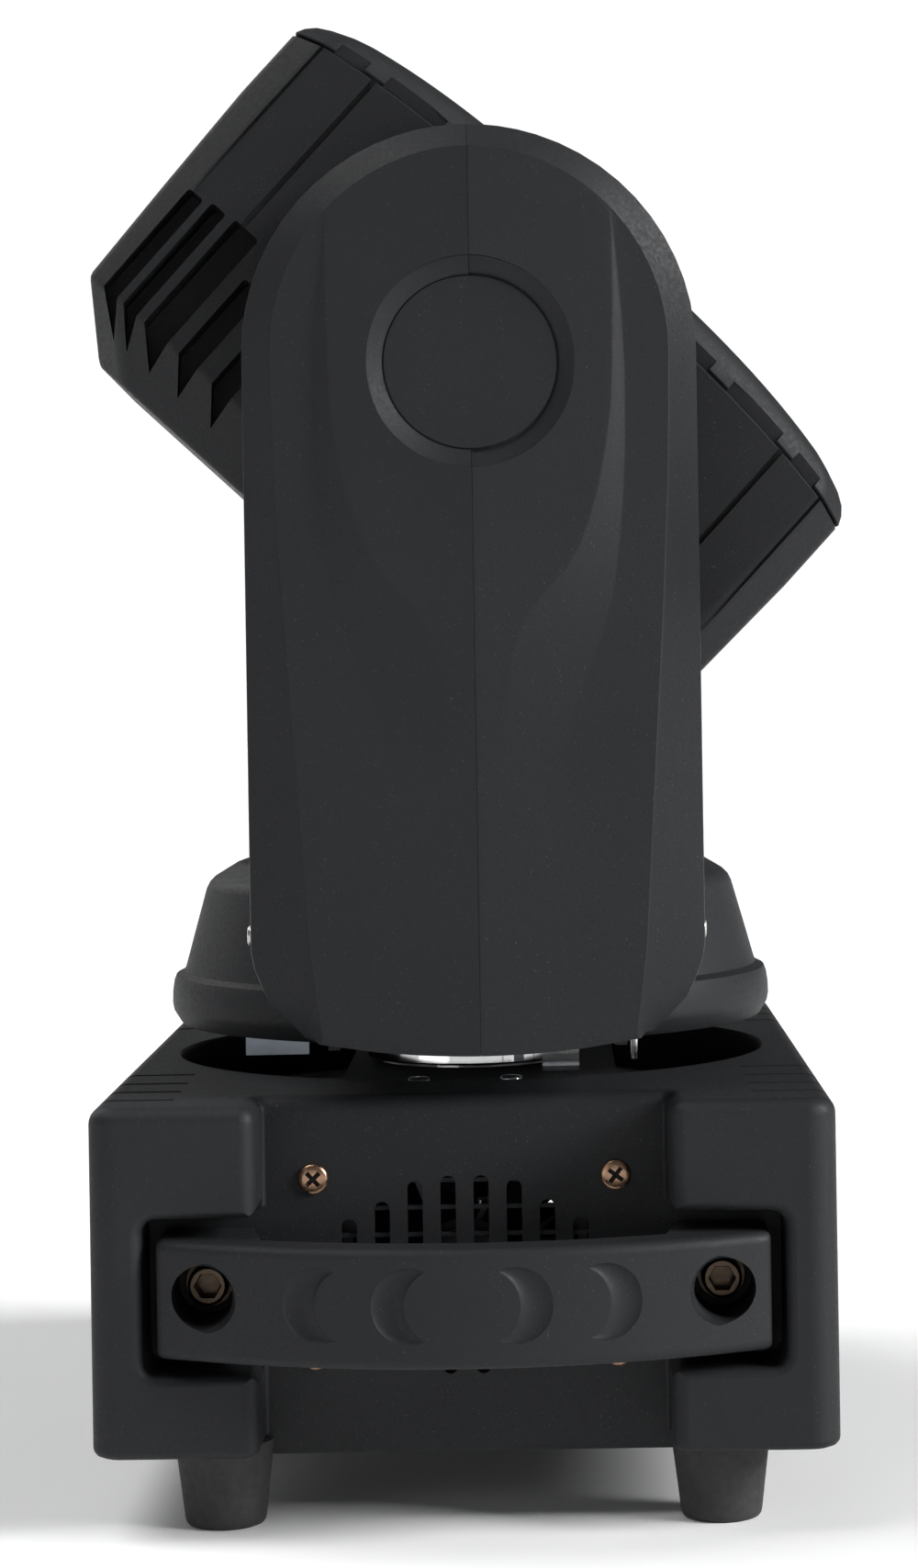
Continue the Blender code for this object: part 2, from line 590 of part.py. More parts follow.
def build_pan_drive(pan_pivot):
    plate_z = (WELL_FLOOR + GAP, PAN_PLATE_TOP)
    plate = place("pan_plate", box(PAN_PLATE_X, (-PAN_PLATE_HALF_Y, PAN_PLATE_HALF_Y), plate_z), "gloss_black")
    hole_r = 0.034
    combine(plate, turned([(hole_r + GAP, plate_z[0] - 0.01), (hole_r + GAP, plate_z[1] + 0.01)], MEDIUM))
    place("pan_bearing", tube(hole_r, SHAFT_R + GAP, plate_z[0] + 0.001, plate_z[1] - 0.001), "bright_steel")
    shaft = [(SHAFT_R, 0.084), (SHAFT_R, 0.136), (FLANGE_R, 0.136), (FLANGE_R, 0.143), (0.030, 0.143),
             (0.030, FRAME_PLATE_LOW - GAP), (SHAFT_BORE_R, FRAME_PLATE_LOW - GAP), (SHAFT_BORE_R, 0.084)]
    place("pan_shaft", turned(shaft, MEDIUM, closed=True), "bright_steel", pan_pivot)
    width = PAN_PULLEY_HIGH - PAN_PULLEY_LOW
    pulley("pan_pulley", PULLEY_R, SHAFT_R + GAP, width, pan_pivot, (0, 0, PAN_PULLEY_LOW), "Z")
    pulley("pan_motor_pulley", MOTOR_PULLEY_R, 0.004 + GAP, width, None, (PAN_MOTOR_X, 0, PAN_PULLEY_LOW), "Z")
    stepper("pan_motor", PAN_MOTOR_HALF, 0.0303, PAN_MOTOR_TOP, 0.100, None, (PAN_MOTOR_X, 0, 0), "Z")
    edge = 0.0012 + GAP
    belt("pan_belt", -PAN_MOTOR_X, 0, PAN_PULLEY_LOW + edge, PAN_PULLEY_HIGH - edge)
    bracket = box((0.026, 0.039), (-0.052, -0.044), (PAN_PLATE_TOP + GAP, 0.142))
    bracket = place("pan_sensor_bracket", bracket, "zinc_steel")
    combine(bracket, box((0.020, 0.045), (-0.060, -0.0465), (0.1372, 0.150)))
    x, y = FLAG_PIN_AT
    pin_z = (0.138, TURRET_BOTTOM - GAP)
    place("pan_flag_pin", prism(circle(0.0013, 8), *pin_z), "bright_steel", pan_pivot, (x, y, 0))


# ---------------------------------------------------------------- yoke

def build_yoke_frame(pan_pivot):
    """Steel strap bent into a U: under the head, and up inside both arms."""
    low, high = FRAME_PLATE_LOW, FRAME_PLATE_LOW + FRAME_THICK
    inner, outer = FRAME_Y, FRAME_Y + FRAME_THICK
    half = [(outer, low), (outer, FRAME_TOP), (inner, FRAME_TOP), (inner, high)]
    outline = half + [(-y, z) for y, z in reversed(half)]
    frame = place("yoke_frame", prism(outline, -FRAME_HALF_X, FRAME_HALF_X, axis="X"), "zinc_steel", pan_pivot)
    reach = outer + 0.01
    combine(frame, prism(circle(BEARING_R + GAP, MEDIUM, (0, TILT_Z)), -reach, reach, axis="Y"))
    combine(frame, prism(circle(SHAFT_BORE_R), low - 0.01, high + 0.01))
    combine(frame, prism(circle(0.0125, COARSE, (0, TILT_MOTOR_Z)), inner - 0.01, outer + 0.01, axis="Y"))


def build_turret(pan_pivot):
    """Round lower casing of the yoke, with a neck to each arm, and the steel floor under it."""
    outer = [(0.1060, TURRET_BOTTOM), (0.1090, 0.157), (0.1080, 0.167), (0.1045, 0.169), (0.0950, 0.201),
             (0.0840, 0.208), (0.0500, 0.2125)]
    inner = [(0.1040, TURRET_BOTTOM - 0.01), (0.1040, 0.165), (0.1015, 0.167), (0.0920, 0.199),
             (0.0820, 0.205), (0.0490, 0.2095)]
    cover = place("turret_cover", turned(outer, FINE), "moulded_black", pan_pivot)
    combine(cover, turned(inner, FINE))
    neck_end = ARM_INNER_Y - GAP
    neck_start = 0.078
    for _, side in mirrored_sides():
        neck_y = sorted((side * neck_start, side * neck_end))
        combine(cover, box((-NECK_HALF_X, NECK_HALF_X), neck_y, (TURRET_BOTTOM, NECK_TOP)), "UNION")
    inside = NECK_HALF_X - WALL
    combine(cover, box((-inside, inside), (-0.130, 0.130), (TURRET_BOTTOM - 0.01, NECK_TOP - WALL)))
    floor = turned([(0.1037, TURRET_BOTTOM), (0.1037, TURRET_BOTTOM + 0.002), (0.040, TURRET_BOTTOM + 0.002),
                    (0.040, TURRET_BOTTOM)], FINE, closed=True)
    floor = place("turret_floor", floor, "zinc_steel", pan_pivot)
    for _, side in mirrored_sides():
        notch_y = sorted((side * (neck_start - GAP), side * 0.110))
        notch_x = NECK_HALF_X + GAP
        combine(floor, box((-notch_x, notch_x), notch_y, (TURRET_BOTTOM - 0.01, TURRET_BOTTOM + 0.01)))
    combine(floor, box((-0.080, -0.058), (-0.062, -0.060), (0.1440, TURRET_BOTTOM + 0.001)), "UNION")


def arm_outline(inset=0.0, band=False):
    """Front half (x > 0) of the arm outline in X and Z, from the top down; band gives the outer face."""
    if band:
        round_r, side_x, low_x, foot = 0.0655, 0.0645, 0.0550, ((0.0530, 0.170), (0.0510, 0.1575))
    else:
        round_r, side_x, low_x, foot = ARM_HALF_X, ARM_HALF_X, ARM_HALF_X, ((0.0680, 0.170), (0.0540, 0.157))
    top = [(x, z) for x, z in reversed(arc((0, ARM_ARC_Z), round_r - inset, 0, 90, 12))]
    top[-1] = (side_x - inset, ARM_ARC_Z)
    sides = [(low_x - inset, 0.187)] + [(x - inset, z + inset * 0.6) for x, z in foot]
    return top + sides + [(0.027, ARM_BOTTOM + 0.0011 + inset), (0.0, ARM_BOTTOM + inset)]


def arm_half(side, inset=0.0, over=0.0):
    """Solid half arm; over carries it past the parting plane so that it can cut."""
    start, end = ARM_INNER_Y + inset, ARM_OUTER_Y - inset
    levels = ((start, False), (ARM_BAND_Y - inset / 2, False), (end, True))
    shift = -over if over else GAP / 2
    sections = []
    for level, band in levels:
        outline = arm_outline(inset, band)
        outline = [(shift if x <= 1e-6 else x, z) for x, z in outline]
        sections.append(lay(outline, side * level, "Y"))
    return sections


def build_arms(pan_pivot):
    """Each arm is cased in a front and a rear shell that meet on the centre plane."""
    for side_name, side in mirrored_sides():
        for end_name, end in (("front", 1), ("rear", -1)):
            def flip(sections):
                return [[(end * x, y, z) for x, y, z in section] for section in sections]

            shell = place(f"arm_cover_{side_name}_{end_name}", loft(flip(arm_half(side))), "moulded_black",
                          pan_pivot)
            combine(shell, loft(flip(arm_half(side, WALL, 0.010))))
            wall_y = sorted((side * (ARM_INNER_Y - 0.01), side * (ARM_INNER_Y + WALL + 0.002)))
            combine(shell, prism(circle(0.018, COARSE, (0, TILT_Z)), *wall_y, axis="Y"))
            inside = NECK_HALF_X - WALL
            combine(shell, box((-inside, inside), wall_y, (ARM_BOTTOM - 0.01, NECK_TOP - WALL)))
            strap_y = sorted((side * (ARM_INNER_Y - 0.01), side * (FRAME_Y + FRAME_THICK + 0.001)))
            strap_top = FRAME_PLATE_LOW + 2 * FRAME_THICK
            combine(shell, box((-inside, inside), strap_y, (ARM_BOTTOM - 0.01, strap_top)))


def build_tilt_drive(pan_pivot, tilt_pivot):
    """Bearings in the steel uprights, a motor low in the left arm and a belt up to the tilt axis."""
    ring_low, ring_high = FRAME_Y - 0.002, FRAME_Y + 0.005
    for name, side in mirrored_sides():
        low, high = sorted((side * ring_low, side * ring_high))
        place(f"tilt_bearing_{name}", tube(BEARING_R, TILT_SHAFT_R + GAP, low, high), "bright_steel", pan_pivot,
              (0, 0, TILT_Z), "Y")
        flange, end = HEAD_HALF_Y + GAP, (TILT_PULLEY_FAR + 0.002 if side > 0 else 0.134)
        outline = [(0.026, flange), (0.026, flange + 0.003), (TILT_SHAFT_R, flange + 0.003), (TILT_SHAFT_R, end),
                   (TILT_BORE_R, end), (TILT_BORE_R, flange)]
        profile = [(r, side * y) for r, y in outline]
        place(f"tilt_shaft_{name}", turned(profile, MEDIUM, closed=True), "bright_steel", tilt_pivot, along="Y")
    width = TILT_PULLEY_FAR - TILT_PULLEY_NEAR
    pulley("tilt_pulley", PULLEY_R, TILT_SHAFT_R + GAP, width, tilt_pivot, (0, TILT_PULLEY_NEAR, 0), "Y")
    pulley("tilt_motor_pulley", MOTOR_PULLEY_R, 0.004 + GAP, width, pan_pivot,
           (0, TILT_PULLEY_NEAR, TILT_MOTOR_Z), "Y")
    motor_face = FRAME_Y - GAP
    stepper("tilt_motor", TILT_MOTOR_HALF, motor_face - 0.046, motor_face, TILT_PULLEY_FAR + 0.001, pan_pivot,
            (0, 0, TILT_MOTOR_Z), "Y")
    edge = 0.0012 + GAP
    belt("tilt_belt", TILT_Z - TILT_MOTOR_Z, TILT_Z, TILT_PULLEY_NEAR + edge, TILT_PULLEY_FAR - edge, pan_pivot,
         upright=True)


# ---------------------------------------------------------------- head

def head_section(level, half_x, half_y, radius=HEAD_CORNER_R):
    return lay(rounded_rectangle(half_x, half_y, radius), level)


def head_shell_sections(inset=0.0, top=HEAD_SEAM):
    levels = ((HEAD_BACK + inset, HEAD_BACK_HALF_X, 0.088), (HEAD_SHOULDER, 0.1215, 0.1065),
              (-0.020, 0.1230, 0.1105), (top, HEAD_HALF_X, HEAD_HALF_Y))
    return [head_section(z, half_x - inset, half_y - inset, HEAD_CORNER_R - inset) for z, half_x, half_y in levels]


def slot_outline(outer, inner, tip):
    """Cooling slot as seen along the tilt axis: straight, then leaning inwards to a point at the back."""
    return [(outer, SLOT_TOP), (outer, HEAD_SHOULDER), (tip, SLOT_TIP), (inner, HEAD_SHOULDER), (inner, SLOT_TOP)]


def fin_slots():
    """The slots near all four rear corners, cut inwards from the two sides of the head."""
    bm = bmesh.new()
    for sign_x in (-1, 1):
        for sign_y in (-1, 1):
            y = sorted((sign_y * (HEAD_HALF_Y - SLOT_DEPTH), sign_y * (HEAD_HALF_Y + 0.01)))
            for slot in SLOTS:
                outline = [(sign_x * a, b) for a, b in slot_outline(*slot)]
                prism(outline, *y, axis="Y", bm=bm)
    return bm


def build_head_housing(tilt_pivot):
    housing = place("head_housing", loft(head_shell_sections()), "moulded_black", tilt_pivot, HEAD_CENTRE)
    cavity = place("head_cavity", loft(head_shell_sections(WALL, HEAD_SEAM + 0.01)), parent=tilt_pivot,
                   at=HEAD_CENTRE)
    pods = bmesh.new()
    for sign_x in (-1, 1):
        for sign_y in (-1, 1):
            x = sorted((sign_x * (SLOTS[-1][-1] - WALL), sign_x * 0.130))
            y = sorted((sign_y * (HEAD_HALF_Y - SLOT_DEPTH - WALL), sign_y * 0.130))
            box(x, y, (HEAD_BACK - 0.01, SLOT_TOP + WALL), bm=pods)
    combine(cavity, pods)
    hollow = housing.modifiers.new("cavity", "BOOLEAN")
    hollow.solver = "EXACT"
    hollow.object = cavity
    combine(housing, fin_slots())
    vents = bmesh.new()
    for number in range(7):
        y = (number - 3) * 0.012
        reach = math.sqrt(0.042 ** 2 - y ** 2)
        box((-reach, reach), (y - 0.003, y + 0.003), (HEAD_BACK - 0.01, HEAD_BACK + 0.008), bm=vents)
    combine(housing, vents)
    combine(housing, prism(circle(TILT_BORE_R, COARSE, (-HEAD_CENTRE[0], 0)), -0.130, 0.130, axis="Y"))


def build_head_bezel(tilt_pivot):
    """Front frame of the head: arched as seen from the side, with a round opening for the lens plate."""
    seam = HEAD_SEAM + GAP

    def arched(points, level, arch=0.0):
        return [(x, y, level + arch * (1 - abs(x / HEAD_HALF_X) ** ARCH_POWER)) for x, y in points]

    def frame(inset, level, arch=0.0):
        points = rounded_rectangle(HEAD_HALF_X - inset, HEAD_HALF_Y - inset, HEAD_CORNER_R, 3, 7)
        return arched(points, level, arch)

    def opening(radius, level, arch=0.0):
        around = rounded_rectangle(HEAD_HALF_X, HEAD_HALF_Y, HEAD_CORNER_R, 3, 7)
        return arched([(x * radius / math.hypot(x, y), y * radius / math.hypot(x, y)) for x, y in around],
                      level, arch)

    outer = [frame(0.0, seam), frame(0.0, seam + 0.001, 0.008), frame(0.0095, BEZEL_LOW, BEZEL_ARCH)]
    inner = [opening(LENS_OPENING_R + 0.002, BEZEL_LOW - 0.001, BEZEL_ARCH), opening(LENS_OPENING_R, 0.0495),
             opening(LENS_OPENING_R + 0.004, 0.0475), frame(WALL, seam)]
    place("head_bezel", loft(outer + inner, closed=True), "moulded_black", tilt_pivot, HEAD_CENTRE)


def lens_centres():
    """Hexagonal layout of nineteen lenses: one, six and twelve."""
    centres = []
    for q in range(-LENS_RINGS, LENS_RINGS + 1):
        for r in range(-LENS_RINGS, LENS_RINGS + 1):
            if abs(q + r) <= LENS_RINGS:
                centres.append((LENS_PITCH * (q + r / 2), LENS_PITCH * r * math.sqrt(3) / 2))
    return centres


def perforated(bm, rim, holes):
    """Fill a flat face between a rim loop and hole loops, all given as lists of vertices."""
    edges = []
    for loop in [rim] + holes:
        for i, vert in enumerate(loop):
            following = loop[(i + 1) % len(loop)]
            edges.append(bm.edges.get((vert, following)) or bm.edges.new((vert, following)))
    bmesh.ops.triangle_fill(bm, edges=edges, use_beauty=True, use_dissolve=False)


def skin(bm, loops, cap=False):
    """Join loops of vertices by bands of faces, and cap the last one if asked."""
    for loop, following in zip(loops, loops[1:]):
        for i in range(len(loop)):
            j = (i + 1) % len(loop)
            bm.faces.new((loop[i], loop[j], following[j], following[i]))
    if cap:
        bm.faces.new(loops[-1])


def ring_of_verts(bm, radius, level, centre=(0, 0), count=COARSE):
    return [bm.verts.new((x, y, level)) for x, y in circle(radius, count, centre)]


def build_optics(tilt_pivot):
    """Lens plate, moulded lens array, LED board and finned heat sink, stacked along the beam."""
    bm = bmesh.new()
    plate = [ring_of_verts(bm, LENS_PLATE_R, z, count=FINE) for z in LENS_PLATE_Z]
    holes = [[ring_of_verts(bm, LENS_R + GAP, z, centre) for centre in lens_centres()] for z in LENS_PLATE_Z]
    skin(bm, plate)
    for low, high in zip(*holes):
        skin(bm, [low, high])
    for rim, hole_loops in zip(plate, holes):
        perforated(bm, rim, hole_loops)
    place("lens_plate", bm, "gloss_black", tilt_pivot, HEAD_CENTRE)

    bm = bmesh.new()
    low_z, high_z = 0.0497, LENS_PLATE_Z[0] - GAP
    plate = [ring_of_verts(bm, LENS_PLATE_R, z, count=FINE) for z in (low_z, high_z)]
    domes = []
    for centre in lens_centres():
        dome = [(LENS_R - GAP, high_z), (LENS_R - GAP, LENS_PLATE_Z[1]), (LENS_R * 0.55, LENS_PLATE_Z[1] + 0.004)]
        domes.append([ring_of_verts(bm, r, z, centre) for r, z in dome])
    skin(bm, plate)
    for loops in domes:
        skin(bm, loops, cap=True)
    perforated(bm, plate[1], [loops[0] for loops in domes])
    bm.faces.new(plate[0])
    place("lens_array", bm, "lens_acrylic", tilt_pivot, HEAD_CENTRE)

    place("led_board", turned([(0.092, 0.0330), (0.092, 0.0346)], FINE), "white_board", tilt_pivot, HEAD_CENTRE)
    sink = place("heat_sink", box((-0.090, 0.090), (-0.085, 0.085), (0.0240, 0.0327)), "aluminium", tilt_pivot,
                 HEAD_CENTRE)
    fins = bmesh.new()
    for number in range(11):
        x = (number - 5) * 0.0165
        box((x - 0.001, x + 0.001), (-0.080, 0.080), (-0.030, 0.0250), bm=fins)
    combine(sink, fins, "UNION")


def build_head_fan(tilt_pivot):
    """Fan behind the heat sink, blowing out through the slots in the back of the head."""
    at = (HEAD_CENTRE[0], 0, HEAD_BACK + WALL + GAP)
    fan_frame("head_fan_frame", "gloss_black", tilt_pivot, at, "Z", 0.046, FAN_DEPTH)
    fan_rotor("head_fan_rotor", "painted_black", tilt_pivot, at, "Z", 0.046, FAN_DEPTH)


# ---------------------------------------------------------------- assembly

def pivot(name, at, parent=None, rotation=(0, 0, 0)):
    empty = bpy.data.objects.new(name, None)
    bpy.context.scene.collection.objects.link(empty)
    empty.location = at
    empty.rotation_euler = rotation
    empty.parent = parent
    return empty


def build():
    clear_scene()
    pan_pivot = pivot("pan_pivot", (0, 0, 0), rotation=(0, 0, REST_PAN))
    tilt_pivot = pivot("tilt_pivot", (0, 0, TILT_Z), pan_pivot, (0, REST_TILT, 0))
    build_base_tray()
    build_base_housing()
    build_feet()
    build_handles()
    build_display()
    build_connectors()
    build_electronics()
    build_base_fans()
    build_pan_drive(pan_pivot)
    build_yoke_frame(pan_pivot)
    build_turret(pan_pivot)
    build_arms(pan_pivot)
    build_tilt_drive(pan_pivot, tilt_pivot)
    build_head_housing(tilt_pivot)
    build_head_bezel(tilt_pivot)
    build_optics(tilt_pivot)
    build_head_fan(tilt_pivot)
    bpy.context.view_layer.update()


build()
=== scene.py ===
"""Looks of a moving head wash light: a base with two handles, a yoke that pans and a head that tilts."""
import json
import math

import bmesh
import bpy
from mathutils import Matrix, Vector


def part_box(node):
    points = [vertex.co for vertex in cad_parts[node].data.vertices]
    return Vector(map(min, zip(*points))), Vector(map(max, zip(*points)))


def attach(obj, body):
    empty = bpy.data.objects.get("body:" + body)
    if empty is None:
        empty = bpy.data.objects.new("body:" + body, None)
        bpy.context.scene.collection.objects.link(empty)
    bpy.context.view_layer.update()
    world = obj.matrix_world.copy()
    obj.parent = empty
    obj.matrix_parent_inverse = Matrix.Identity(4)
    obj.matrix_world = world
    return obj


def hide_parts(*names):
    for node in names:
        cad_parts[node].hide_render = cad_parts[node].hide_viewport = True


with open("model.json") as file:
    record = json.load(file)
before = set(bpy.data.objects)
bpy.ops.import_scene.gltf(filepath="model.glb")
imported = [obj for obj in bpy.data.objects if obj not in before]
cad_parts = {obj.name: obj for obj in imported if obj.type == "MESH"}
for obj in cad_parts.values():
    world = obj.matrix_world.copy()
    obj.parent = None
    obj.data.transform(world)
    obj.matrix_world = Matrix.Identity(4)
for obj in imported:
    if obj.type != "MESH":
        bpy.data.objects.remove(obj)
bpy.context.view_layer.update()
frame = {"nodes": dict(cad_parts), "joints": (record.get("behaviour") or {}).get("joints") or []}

# ---------------- dimensions, in metres

SIDES = (("right", -1), ("left", 1))
ENDS = (("front", 1), ("rear", -1))
QUARTERS = ((-1, -1), (-1, 1), (1, -1), (1, 1))

JOINTS = {joint["name"]: joint for joint in frame["joints"]}
TILT_AXIS = Vector(JOINTS["tilt"]["axis"])
BEAM = Vector(JOINTS["head_fan_spin"]["axis"])
TILT_Z = JOINTS["tilt"]["pos_m"][2]
YOKE = Matrix.Rotation(math.atan2(-TILT_AXIS.x, TILT_AXIS.y), 4, "Z")
HEAD_SHIFT = 0.0035  # the head sits this far off the tilt axis
HEAD = (YOKE @ Matrix.Translation((0, 0, TILT_Z)) @ Matrix.Rotation(math.acos(BEAM.z), 4, "Y")
        @ Matrix.Translation((HEAD_SHIFT, 0, 0)))

BASE_HALF_X, BASE_HALF_Y, BASE_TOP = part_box("base_housing")[1]
BASE_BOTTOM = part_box("base_housing")[0].z
BLOCK_INNER_X, RECESS_Y = 0.066, 0.144
WALL, GAP = 0.003, 0.0003
CLEAR = 0.01  # how far a cutter reaches past the face it cuts
WELL_R, WELL_FLOOR = 0.106, 0.121
POCKET_HALF_X, POCKET_LOW, POCKET_HIGH = 0.103, 0.0535, 0.1035
HANDLE_HALF_X, HANDLE_LOW, HANDLE_HIGH = 0.098, 0.0592, 0.097
HANDLE_BOW, HANDLE_THICK = 0.026, 0.017
BOLT_X, BOLT_Z, BOLT_SEAT_Y = 0.083, 0.0799, 0.1495
BOLT_HOLE_R, CAP_HEIGHT = 0.0043, 0.008
VENT_Z, VENT_PITCH, VENT_WIDTH = 0.081, 0.0108, 0.005
VENT_HALF_HEIGHTS = (0.0314, 0.0299, 0.0232, 0.0177)

TURRET_BOTTOM = 0.151
ARM_INNER_Y, ARM_BAND_Y, ARM_OUTER_Y = 0.117, 0.148, 0.158
ARM_HALF_X, ARM_ARC_Z, ARM_BOTTOM = 0.074, 0.381, 0.1526
BAND_R = 0.0655
SEAM = 0.00005  # half the gap between the two halves of an arm

HEAD_HALF_X, HEAD_HALF_Y = 0.1245, 0.112
HEAD_BACK, HEAD_SHOULDER = -0.0808, -0.06
SLOTS = ((0.1143, 0.1077, 0.1002), (0.105, 0.0989, 0.0942), (0.0955, 0.085, 0.0839),
         (0.08, 0.0718, 0.0711), (0.065, 0.0567, 0.056))    # outer wall, inner wall and tip
SLOT_TOPS = (-0.0165, -0.015, -0.014, -0.0265, -0.032)
SLOT_TIP, SLOT_DEPTH = -0.0715, 0.022
HEAD_CUT = 0.0115  # how far the upright edges of the head are cut off
LENS_PITCH, LENS_R, LENS_RINGS = 0.039, 0.017, 2


# ---------------- materials

class Shading:
    """A Principled material built up from procedural nodes in object space."""

    def __init__(self, name, roughness, metallic=0.0):
        self.material = bpy.data.materials.new(name)
        self.material.use_nodes = True
        self.tree = self.material.node_tree
        self.shader = self.tree.nodes["Principled BSDF"]
        self.shader.inputs["Metallic"].default_value = metallic
        self.shader.inputs["Roughness"].default_value = roughness
        self.coords = self.node("ShaderNodeTexCoord").outputs["Object"]

    def node(self, kind, **settings):
        node = self.tree.nodes.new(kind)
        for key, value in settings.items():
            if key in node.inputs:
                node.inputs[key].default_value = value
            else:
                setattr(node, key, value)
        return node

    def link(self, source, target):
        self.tree.links.new(source, target)

    def stretched(self, scale):
        mapping = self.node("ShaderNodeMapping", Scale=scale)
        self.link(self.coords, mapping.inputs["Vector"])
        return mapping.outputs["Vector"]

    def noise(self, scale, detail=2.0, rough=0.5, vector=None):
        node = self.node("ShaderNodeTexNoise", Scale=scale, Detail=detail, Roughness=rough)
        self.link(vector or self.coords, node.inputs["Vector"])
        return node.outputs["Fac"]

    def cells(self, scale, feature="F1"):
        node = self.node("ShaderNodeTexVoronoi", Scale=scale, feature=feature)
        self.link(self.coords, node.inputs["Vector"])
        return node.outputs["Distance"]

    def spread(self, value, low, high, start=0.3, end=0.7):
        limits = {"From Min": start, "From Max": end, "To Min": low, "To Max": high}
        node = self.node("ShaderNodeMapRange", **limits)
        self.link(value, node.inputs["Value"])
        return node.outputs["Result"]

    def mix(self, factor, first, second):
        node = self.node("ShaderNodeMix", data_type="RGBA")
        self.link(factor, node.inputs["Factor"])
        inputs = [s for s in node.inputs if s.type == "RGBA"]
        for socket, colour in zip(inputs, (first, second)):
            if isinstance(colour, tuple):
                socket.default_value = (*colour, 1.0)
            else:
                self.link(colour, socket)
        return [s for s in node.outputs if s.type == "RGBA"][0]

    def colour(self, value):
        self.link(value, self.shader.inputs["Base Color"])

    def roughness(self, value):
        self.link(value, self.shader.inputs["Roughness"])

    def bump(self, layers):
        """Stack (height, strength, depth) layers into one normal."""
        normal = None
        for height, strength, depth in layers:
            node = self.node("ShaderNodeBump", Strength=strength, Distance=depth)
            self.link(height, node.inputs["Height"])
            if normal:
                self.link(normal, node.inputs["Normal"])
            normal = node.outputs["Normal"]
        self.link(normal, self.shader.inputs["Normal"])


def scaled(colour, factor):
    return tuple(min(1.0, c * factor) for c in colour)


def moulded(name, colour, roughness=0.57, grain=1.0):
    """Matt moulded plastic with a fine leather grain, faint mottling and a very little dust."""
    s = Shading(name, roughness)
    fine = s.noise(1500, 2.0, 0.6)
    tone = s.mix(s.spread(s.noise(14, 3.0), 0.0, 1.0), scaled(colour, 0.9), scaled(colour, 1.1))
    tone = s.mix(s.spread(fine, 0.0, 0.3), tone, scaled(colour, 1.35))
    tone = s.mix(s.spread(s.noise(1900, 0.0), 0.0, 0.35, 0.79, 0.84), tone, (0.11, 0.115, 0.12))
    s.colour(tone)
    s.roughness(s.spread(s.noise(700, 3.0), roughness - 0.06, roughness + 0.08))
    s.shader.inputs["Specular IOR Level"].default_value = 0.22
    s.bump([(s.cells(1150), 0.22 * grain, 0.00014), (fine, 0.2 * grain, 0.0001),
            (s.noise(60, 2.0), 0.05, 0.0005)])
    return s.material


def smooth_plastic(name, colour, roughness):
    s = Shading(name, roughness)
    s.colour(s.mix(s.spread(s.noise(30, 3.0), 0.0, 1.0), scaled(colour, 0.9), scaled(colour, 1.15)))
    s.roughness(s.spread(s.noise(260, 4.0), roughness - 0.02, roughness + 0.04))
    s.bump([(s.noise(400, 2.0), 0.03, 0.0001)])
    return s.material


def metal(name, colour, roughness, stretch, streak, bump=0.05):
    """Bare or plated metal; stretch sets the direction of its machining marks."""
    s = Shading(name, roughness, 1.0)
    streaks = s.noise(streak, 4.0, 0.6, s.stretched(stretch))
    tone = s.mix(s.spread(streaks, 0.0, 1.0), scaled(colour, 0.8), scaled(colour, 1.12))
    s.colour(s.mix(s.spread(s.noise(55, 3.0), 0.0, 0.35), tone, scaled(colour, 0.62)))
    s.roughness(s.spread(streaks, roughness * 0.75, roughness * 1.35))
    s.bump([(streaks, bump, 0.0002)])
    return s.material


def rubber(name, colour, roughness=0.78):
    s = Shading(name, roughness)
    s.colour(s.mix(s.spread(s.noise(45, 4.0), 0.0, 1.0), scaled(colour, 0.75), scaled(colour, 1.5)))
    s.roughness(s.spread(s.noise(350, 3.0), roughness - 0.1, roughness + 0.08))
    s.bump([(s.noise(900, 3.0), 0.22, 0.00015)])
    return s.material


def circuit(name, mask, copper):
    """Solder mask with fine tracks showing through it."""
    s = Shading(name, 0.38)
    tracks = s.spread(s.cells(160, "DISTANCE_TO_EDGE"), 1.0, 0.0, 0.02, 0.06)
    s.colour(s.mix(tracks, mask, copper))
    s.roughness(s.spread(s.noise(200, 2.0), 0.3, 0.48))
    s.bump([(tracks, 0.15, 0.0001)])
    return s.material


def clear_acrylic(name):
    s = Shading(name, 0.05)
    s.shader.inputs["Base Color"].default_value = (0.93, 0.95, 0.97, 1.0)
    s.shader.inputs["Transmission Weight"].default_value = 0.85
    s.shader.inputs["IOR"].default_value = 1.49
    s.roughness(s.spread(s.noise(90, 3.0), 0.03, 0.09))
    s.bump([(s.noise(35, 1.0), 0.03, 0.0005)])
    return s.material


def lcd(name):
    """Dark glass over a dimly lit screen with plain bars."""
    s = Shading(name, 0.1)
    split = s.node("ShaderNodeSeparateXYZ")
    s.link(s.coords, split.inputs["Vector"])
    wave = s.node("ShaderNodeMath", operation="PINGPONG")
    s.link(split.outputs["Z"], wave.inputs[0])
    wave.inputs[1].default_value = 0.0035
    bars = s.spread(wave.outputs["Value"], 0.0, 0.7, 0.0019, 0.0023)
    s.colour(s.mix(bars, (0.004, 0.014, 0.034), (0.014, 0.055, 0.115)))
    s.roughness(s.spread(s.noise(60, 3.0), 0.06, 0.14))
    s.bump([(s.noise(500, 1.0), 0.02, 0.0001)])
    return s.material


